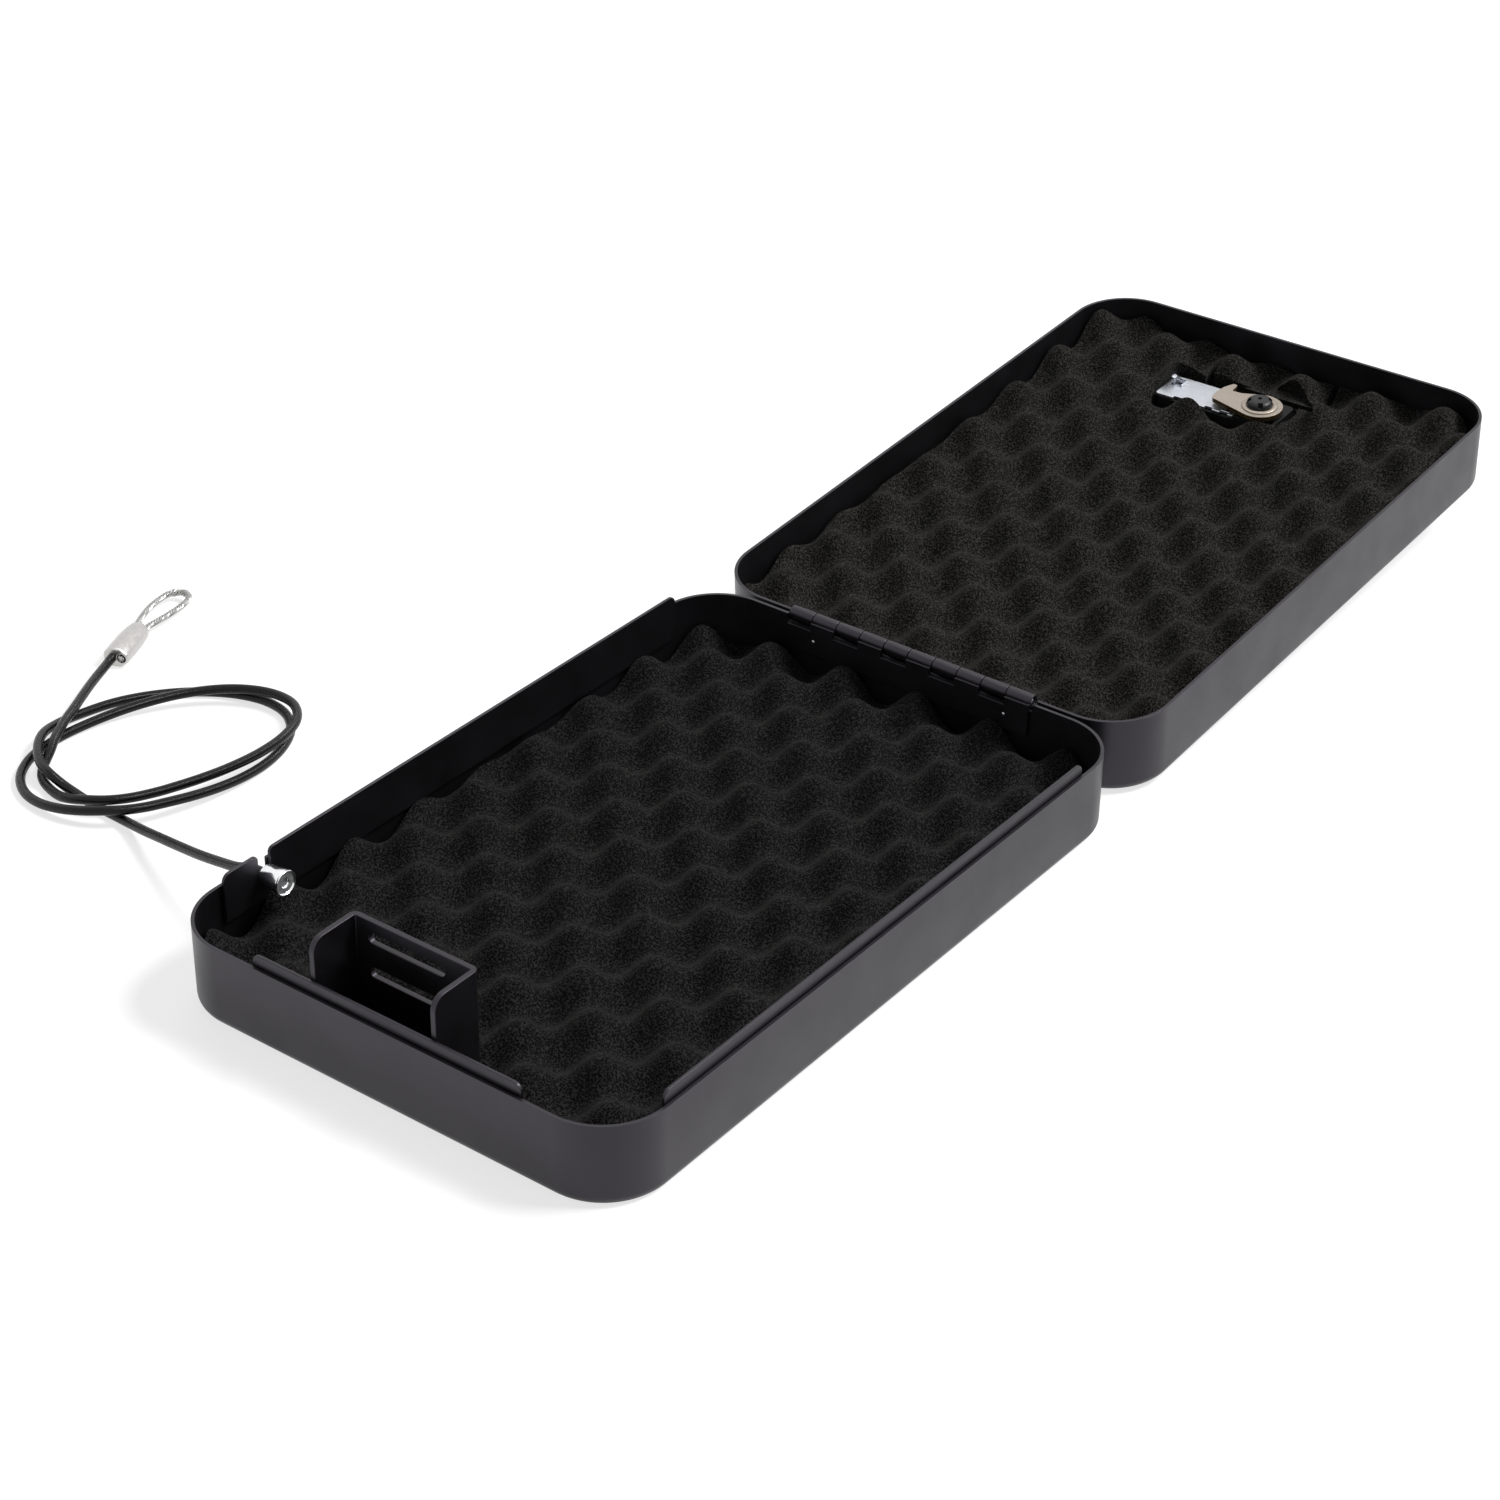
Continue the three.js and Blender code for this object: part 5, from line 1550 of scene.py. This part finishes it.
coverPlate = {
    "round": 0.22,
    "corner": 1.0,
    "combWidth": 3.6,
    "combDepth": 1.5,
    "combPitch": 7.3,
    "combCount": 4,
    "windowWidth": 5.0,
    "windowInset": 1.5,
    "windowFar": 2.9,
    "windowSpare": 0.6,
    "windowCorner": 0.5,
    "sliderPost": 1.8,
    "sliderTravel": 2.5,
    "lipHeight": 1.0,
    "lipSheet": 0.7,
    "lipLap": 0.1,
    "lipInset": 1.5,
}


def addCoverPlate(settings):
    low, high = lidBox("lock_cover_plate")
    plate = slab("coverPlate", roundedOutline(low, high, settings["corner"] * mm, steps=5), low.z, high.z)
    cutLow, cutHigh = low.z - cutPast, high.z + cutPast
    half = settings["combWidth"] * mm / 2
    cutters = []
    for tooth in range(settings["combCount"]):
        x = lidMiddle("dial_3").x + (1 - tooth) * settings["combPitch"] * mm
        notch = rectangle((x - half, low.y - cutPast), (x + half, low.y + settings["combDepth"] * mm))
        cutters.append(slab("comb", notch, cutLow, cutHigh))
    windowLow = (
        low.x + settings["windowInset"] * mm,
        high.y - (settings["windowFar"] + settings["windowWidth"]) * mm,
    )
    windowHigh = (
        windowLow[0] + (settings["sliderPost"] + settings["sliderTravel"] + settings["windowSpare"]) * mm,
        high.y - settings["windowFar"] * mm,
    )
    outline = roundedOutline(windowLow, windowHigh, settings["windowCorner"] * mm, steps=4)
    cutters.append(slab("window", outline, cutLow, cutHigh))
    sheet = settings["lipSheet"] * mm
    lap = settings["lipLap"] * mm
    beside = rectangle(
        (windowHigh[0] + lap, windowLow[1]), (windowHigh[0] + lap + sheet, windowHigh[1]),
    )
    behind = rectangle(
        (windowLow[0] + settings["lipInset"] * mm, windowHigh[1] + lap),
        (windowHigh[0], windowHigh[1] + lap + sheet),
    )
    top = high.z + settings["lipHeight"] * mm
    lips = [slab("lip", outline, high.z - lap, top) for outline in (beside, behind)]
    mesh = joined("coverPlate", [boolean(plate, cutters), *lips])
    edge = settings["round"] * mm
    addPiece("lock_plate", mesh, "lid", zincPlate, ("lock_cover_plate",), bevel=edge, own=True)


case = {
    "corner": 2.0,
    "plateGap": 0.3,
    "floor": 2.6,
    "cavityPast": (1.5, 2.2),
    "bore": 3.8,
    "footPast": (0.6, 2.8),
    "footDepth": 1.8,
    "headDepth": 1.9,
    "round": 0.25,
}


def addCase(settings):
    low, high = lidBox("lock_case")
    plateLow, plateHigh = lidBox("lock_cover_plate")
    gap = settings["plateGap"] * mm
    seat = plateLow.z - gap
    above = high.z + cutPast
    body = slab("case", roundedOutline(low, high, settings["corner"] * mm), low.z, high.z)
    outline = rectangle((low.x - cutPast, low.y - cutPast), (plateHigh.x + gap, high.y + cutPast))
    cutters = [slab("plateSeat", outline, seat, above)]
    dialLow, dialHigh = lidBox("dial_1")[0], lidBox("dial_3")[1]
    left, right = (reach * mm for reach in settings["cavityPast"])
    outline = rectangle((dialLow.x - left, dialLow.y - gap), (dialHigh.x + right, dialHigh.y + gap))
    cutters.append(slab("cavity", outline, low.z - cutPast, seat - settings["floor"] * mm))
    bore = plug("caseBore", settings["bore"] * mm, 0, farUp, 40)
    cutters.append(moved(bore, (spindleAt.x, spindleAt.y, 0)))
    sliderLow, sliderHigh = lidBox("code_slider")
    left, right = (reach * mm for reach in settings["footPast"])
    outline = rectangle((sliderLow.x - left, sliderLow.y - gap), (sliderHigh.x + right, sliderHigh.y + gap))
    cutters.append(slab("footPocket", outline, seat - settings["footDepth"] * mm, seat + cutPast))
    for screw in (1, 2):
        screwLow, screwHigh = lidBox(f"lock_screw_{screw}")
        middle = (screwLow + screwHigh) / 2
        head = (screwHigh.x - screwLow.x) / 2 + gap
        pocket = plug("screwPocket", head, seat - settings["headDepth"] * mm, above, 28)
        cutters.append(moved(pocket, (middle.x, middle.y, 0)))
    mesh = boolean(body, cutters)
    edge = settings["round"] * mm
    addPiece("lock_housing", mesh, "lid", blackCasting, ("lock_case",), bevel=edge, own=True)


slider = {
    "foot": 1.2,
    "stem": 1.0,
    "stemInset": 0.2,
    "stemFrom": 1,
    "stemWidth": 1.5,
    "taper": (5, 4.2),  # below the top
    "headWidth": 2.6,
    "headHeight": 1.1,
    "headFlare": 0.5,
    "headEdge": 0.2,
    "edgeShare": 0.8,
    "bend": 0.7,
    "bendShares": (0.3, 1, 1.1),
    "round": 0.2,
}


def addSlider(settings):
    low, high = lidBox("code_slider")
    foot = slab("foot", rectangle(low, high), low.z, low.z + settings["foot"] * mm)
    middle = (low.y + high.y) / 2
    stem = settings["stem"] * mm
    neck = high.z - settings["headHeight"] * mm
    narrow = settings["stemWidth"] * mm / 2
    wide = settings["headWidth"] * mm / 2
    taperLow, taperHigh = (high.z - drop * mm for drop in settings["taper"])
    flareLean, headLean, edgeLean = (settings["bend"] * mm * share for share in settings["bendShares"])
    rings = []  # a flat tab whose head flares and bends over
    for height, half, lean in (
        (low.z + settings["stemFrom"] * mm, wide, 0),
        (taperLow, wide, 0),
        (taperHigh, narrow, 0),
        (neck, narrow, 0),
        (neck + settings["headFlare"] * mm, wide, flareLean),
        (high.z - settings["headEdge"] * mm, wide, headLean),
        (high.z, wide * settings["edgeShare"], edgeLean),
    ):
        left = low.x + settings["stemInset"] * mm - lean
        corners = rectangle((left, middle - half), (left + stem, middle + half))
        rings.append([Vector((x, y, height)) for x, y in corners])
    mesh = joined("slider", [foot, ringSkin("post", rings)])
    edge = settings["round"] * mm
    addPiece("change_slider", mesh, "slider", zincPlate, ("code_slider",), bevel=edge, own=True)


cam = {
    "sheet": 2.0,
    "reach": 20.4,
    "halfWidth": 5.0,
    "endRadius": 9.4,
    "arcShares": (1.35, -1.1),  # of a quarter turn
    "backShare": 1.5,
    "hookReach": 17.0,
    "hookRise": 10.3,
    "tipShare": 0.92,  # of half a turn
    "rootPast": 0.3,
    "rootHandle": (0.1, 0.5),
    "rootRound": 0.5,
    "neckReach": 11.0,
    "neckRise": 5.3,
    "neckHandle": 1,
    "square": 2.8,
    "round": 0.38,
    "ring": (5.5, 7.3),
    "ringRound": 0.25,
    "edgeSlope": 0.3,
}


def curveBetween(start, handle, end, steps=8):
    return [
        (
            (1 - t) ** 2 * start[0] + 2 * t * (1 - t) * handle[0] + t * t * end[0],
            (1 - t) ** 2 * start[1] + 2 * t * (1 - t) * handle[1] + t * t * end[1],
        )
        for t in (step / steps for step in range(1, steps + 1))
    ]


def camOutline(settings):
    reach, half = settings["reach"], settings["halfWidth"]
    end = reach - half / 2
    tip = half / 4
    tipX, tipY = -settings["hookReach"], settings["hookRise"] - tip
    root = -(reach - half + settings["rootPast"])
    neck = (-settings["neckReach"], settings["neckRise"])
    start, finish = (quarterTurn * share for share in settings["arcShares"])
    across, up = settings["rootHandle"]
    rounded = (root + settings["rootRound"], half)
    return [
        *arc((0, 0), settings["endRadius"], start, finish, steps=36),
        (-end, -half),
        *curveBetween((-end, -half), (-reach, -half), (-reach, 0)),
        *curveBetween((-reach, 0), (-reach, half), (-end - tip, half * settings["backShare"])),
        *arc((tipX, tipY), tip, math.pi * settings["tipShare"], 0, steps=10),
        *curveBetween((tipX + tip, tipY), (root - across, half + up), rounded, steps=5),
        *curveBetween(rounded, (neck[0] - settings["neckHandle"], half), neck, steps=4),
    ]


def addCam(settings):
    low, high = lidBox("hook_cam")
    top = low.z + settings["sheet"] * mm
    plate = slab("cam", [(x * mm, y * mm) for x, y in camOutline(settings)], low.z, top)
    square = settings["square"] * mm
    hole = slab("square", rectangle((-square, -square), (square, square)), low.z - cutPast, high.z + cutPast)
    inner, outer = (radius * mm for radius in settings["ring"])
    soft = settings["ringRound"] * mm
    raised = turnedRing("raisedRing", [
        (inner, top - soft), (inner, high.z - soft / 2), (inner + soft / 2, high.z),
        (outer - soft * 1.5, high.z), (outer - soft / 2, high.z - soft / 2), (outer, high.z - soft * 1.5),
        (outer, top - soft),
    ], segments=80)
    mesh = moved(joined("cam", [boolean(plate, [hole]), raised]), (spindleAt.x, spindleAt.y, 0))
    sideFaces = [
        index for index, face in enumerate(mesh.polygons)
        if abs(face.normal.z) < settings["edgeSlope"] and face.center.z < top
    ]
    piece = addPiece(
        "latch_cam", mesh, "knob", warmNickel, ("hook_cam",), bevel=settings["round"] * mm,
        segments=3, own=True, sharpest=40,
    )
    mesh.materials.append(camSideBrown)  # the side faces below the top get a darker brown finish than the plated top face
    for index in sideFaces:
        mesh.polygons[index].material_index = 1
    piece.modifiers["edgeRounding"].material = 0


washer = {"round": 0.18}


def addWasher(settings):
    edge = settings["round"] * mm
    low, high = lidBox("cam_washer")
    radius = (high.x - low.x) / 2
    inner = case["bore"] * mm
    thick = high.z - low.z
    mesh = turnedRing("washer", [
        (inner, edge), (inner + edge, 0), (radius - edge, 0), (radius, edge), (radius, thick - edge),
        (radius - edge, thick), (inner + edge, thick), (inner, thick - edge),
    ], segments=72)
    moved(mesh, (spindleAt.x, spindleAt.y, low.z))
    addPiece("washer_under_cam", mesh, "knob", brightSteel, ("cam_washer",), own=True)


cap = {
    "radius": 5.2,
    "edge": 0.3,
    "domeShares": (0.42, 0.58),  # straight and rounded parts of the radius and of the height
    "hole": 0.9,
    "holeDepth": 1.4,
    "notches": 4,
    "notchWidth": 2.0,
    "notchDepth": 1.7,
    "notchFloor": 0.3,
    "notchTurn": 0.36,
    "socket": 2.5,
    "roof": 1.9,
    "round": 0.22,
}


def addCap(settings):
    low, high = lidBox("cam_cap")
    radius = settings["radius"] * mm
    edge = settings["edge"] * mm
    height = high.z - low.z
    straight, rounded = settings["domeShares"]
    dome = arc((straight, straight), rounded, 0, quarterTurn)
    profile = [(0, 0), (radius - edge, 0), (radius, edge), (radius, height * straight)]
    profile += [(radius * across, height * up) for across, up in dome[1:]]
    profile.append((0, height))
    top = height + cutPast
    cutters = [plug("capHole", settings["hole"] * mm, height - settings["holeDepth"] * mm, top, 28)]
    half = settings["notchWidth"] * mm / 2
    outline = rectangle((radius - settings["notchDepth"] * mm, -half), (radius + cutPast, half))
    for notch in range(settings["notches"]):
        cutter = slab("capNotch", outline, height * settings["notchFloor"], top)
        turn = fullTurn * (notch + settings["notchTurn"]) / settings["notches"]
        cutter.transform(Matrix.Rotation(turn, 4, "Z"))
        cutters.append(cutter)
    cutters.append(plug("capSocket", settings["socket"] * mm, -cutPast, height - settings["roof"] * mm, 28))
    mesh = moved(boolean(turned("cap", profile, 72), cutters), (spindleAt.x, spindleAt.y, low.z))
    rim = settings["round"] * mm
    addPiece(
        "spindle_cap", mesh, "knob", capPlastic, ("cam_cap",),
        bevel=rim, own=True, sharpest=30,
    )


addDials()
addBezel(bezel)
addKnob(knob)
addCoverPlate(coverPlate)
addCase(case)
addSlider(slider)
addCam(cam)
addWasher(washer)
addCap(cap)
print("lock made")

# the CAD pieces that keep their own shape

keptFinishes = {
    "gate_sleeve_1": turnedBrass, "gate_sleeve_2": turnedBrass, "gate_sleeve_3": turnedBrass,
    "dial_axle": brightSteel, "locking_bar": brightSteel, "detent_spring": brightSteel,
    "lock_screw_1": brightSteel, "lock_screw_2": brightSteel, "knob_spindle": brightSteel,
}
for node, finish in keptFinishes.items():
    mesh = frame["nodes"][node].data
    mesh.materials.clear()
    mesh.materials.append(finish)


# floor, light and world

studio = {
    "floorSize": 6.0,
    "floorColour": (0.5, 0.5, 0.5),
    "floorRoughness": 0.9,
    "floorLift": 0.72,
    "skyFill": 0.13,
    "skySeen": 1.0,
    "lamps": [
        {"name": "rearSoftbox", "place": (2.7, 2.5, 4.6), "aim": (0, 0.15, 0), "size": 1.7, "power": 285},
        {"name": "overheadSoftbox", "place": (-1.2, 1.4, 4.2), "aim": (0, 0.15, 0), "size": 2.4, "power": 25},
    ],
}


def seenDirectly(tree):  # 1 for camera, glossy and transmission rays
    ray = tree.nodes.new("ShaderNodeLightPath")
    seen = ray.outputs["Is Camera Ray"]
    for kind in ("Is Glossy Ray", "Is Transmission Ray"):
        either = tree.nodes.new("ShaderNodeMath")
        either.operation = "MAXIMUM"
        tree.links.new(seen, either.inputs[0])
        tree.links.new(ray.outputs[kind], either.inputs[1])
        seen = either.outputs["Value"]
    return seen


def addFloor(settings):
    half = settings["floorSize"] / 2
    corners = rectangle((-half, -half), (half, half))
    mesh = meshFrom("floor", [(x, y, 0) for x, y in corners], [(0, 1, 2, 3)])
    material, tree, shader = newMaterial("studioFloor")
    shader.inputs["Base Color"].default_value = (*settings["floorColour"], 1)
    shader.inputs["Roughness"].default_value = settings["floorRoughness"]
    shader.inputs["Specular IOR Level"].default_value = 0
    glow = tree.nodes.new("ShaderNodeEmission")
    blend = tree.nodes.new("ShaderNodeAddShader")
    lift = tree.nodes.new("ShaderNodeMath")
    lift.operation = "MULTIPLY"
    lift.inputs[1].default_value = settings["floorLift"]
    tree.links.new(seenDirectly(tree), lift.inputs[0])
    tree.links.new(lift.outputs["Value"], glow.inputs["Strength"])
    tree.links.new(shader.outputs["BSDF"], blend.inputs[0])
    tree.links.new(glow.outputs["Emission"], blend.inputs[1])
    tree.links.new(blend.outputs["Shader"], tree.nodes["Material Output"].inputs["Surface"])
    mesh.materials.append(material)
    floor = bpy.data.objects.new("floor", mesh)
    bpy.context.scene.collection.objects.link(floor)


def addWorld(settings):
    world = bpy.data.worlds.new("studio")
    world.use_nodes = True
    bpy.context.scene.world = world
    tree = world.node_tree
    sky = tree.nodes["Background"]
    sky.inputs["Color"].default_value = (1, 1, 1, 1)
    level = rangeNode(tree, seenDirectly(tree), (0, 1), (settings["skyFill"], settings["skySeen"]))
    tree.links.new(level, sky.inputs["Strength"])


def addLamps(settings):
    for lamp in settings["lamps"]:
        light = bpy.data.lights.new(lamp["name"], "AREA")
        light.shape = "SQUARE"
        light.size = lamp["size"]
        light.energy = lamp["power"]
        holder = bpy.data.objects.new(lamp["name"], light)
        aim = Vector(lamp["aim"]) - Vector(lamp["place"])
        holder.matrix_world = (
            Matrix.Translation(lamp["place"]) @ aim.to_track_quat("-Z", "Y").to_matrix().to_4x4()
        )
        bpy.context.scene.collection.objects.link(holder)


addFloor(studio)
addWorld(studio)
addLamps(studio)
bpy.context.scene.view_settings.view_transform = "Standard"
print("studio made")
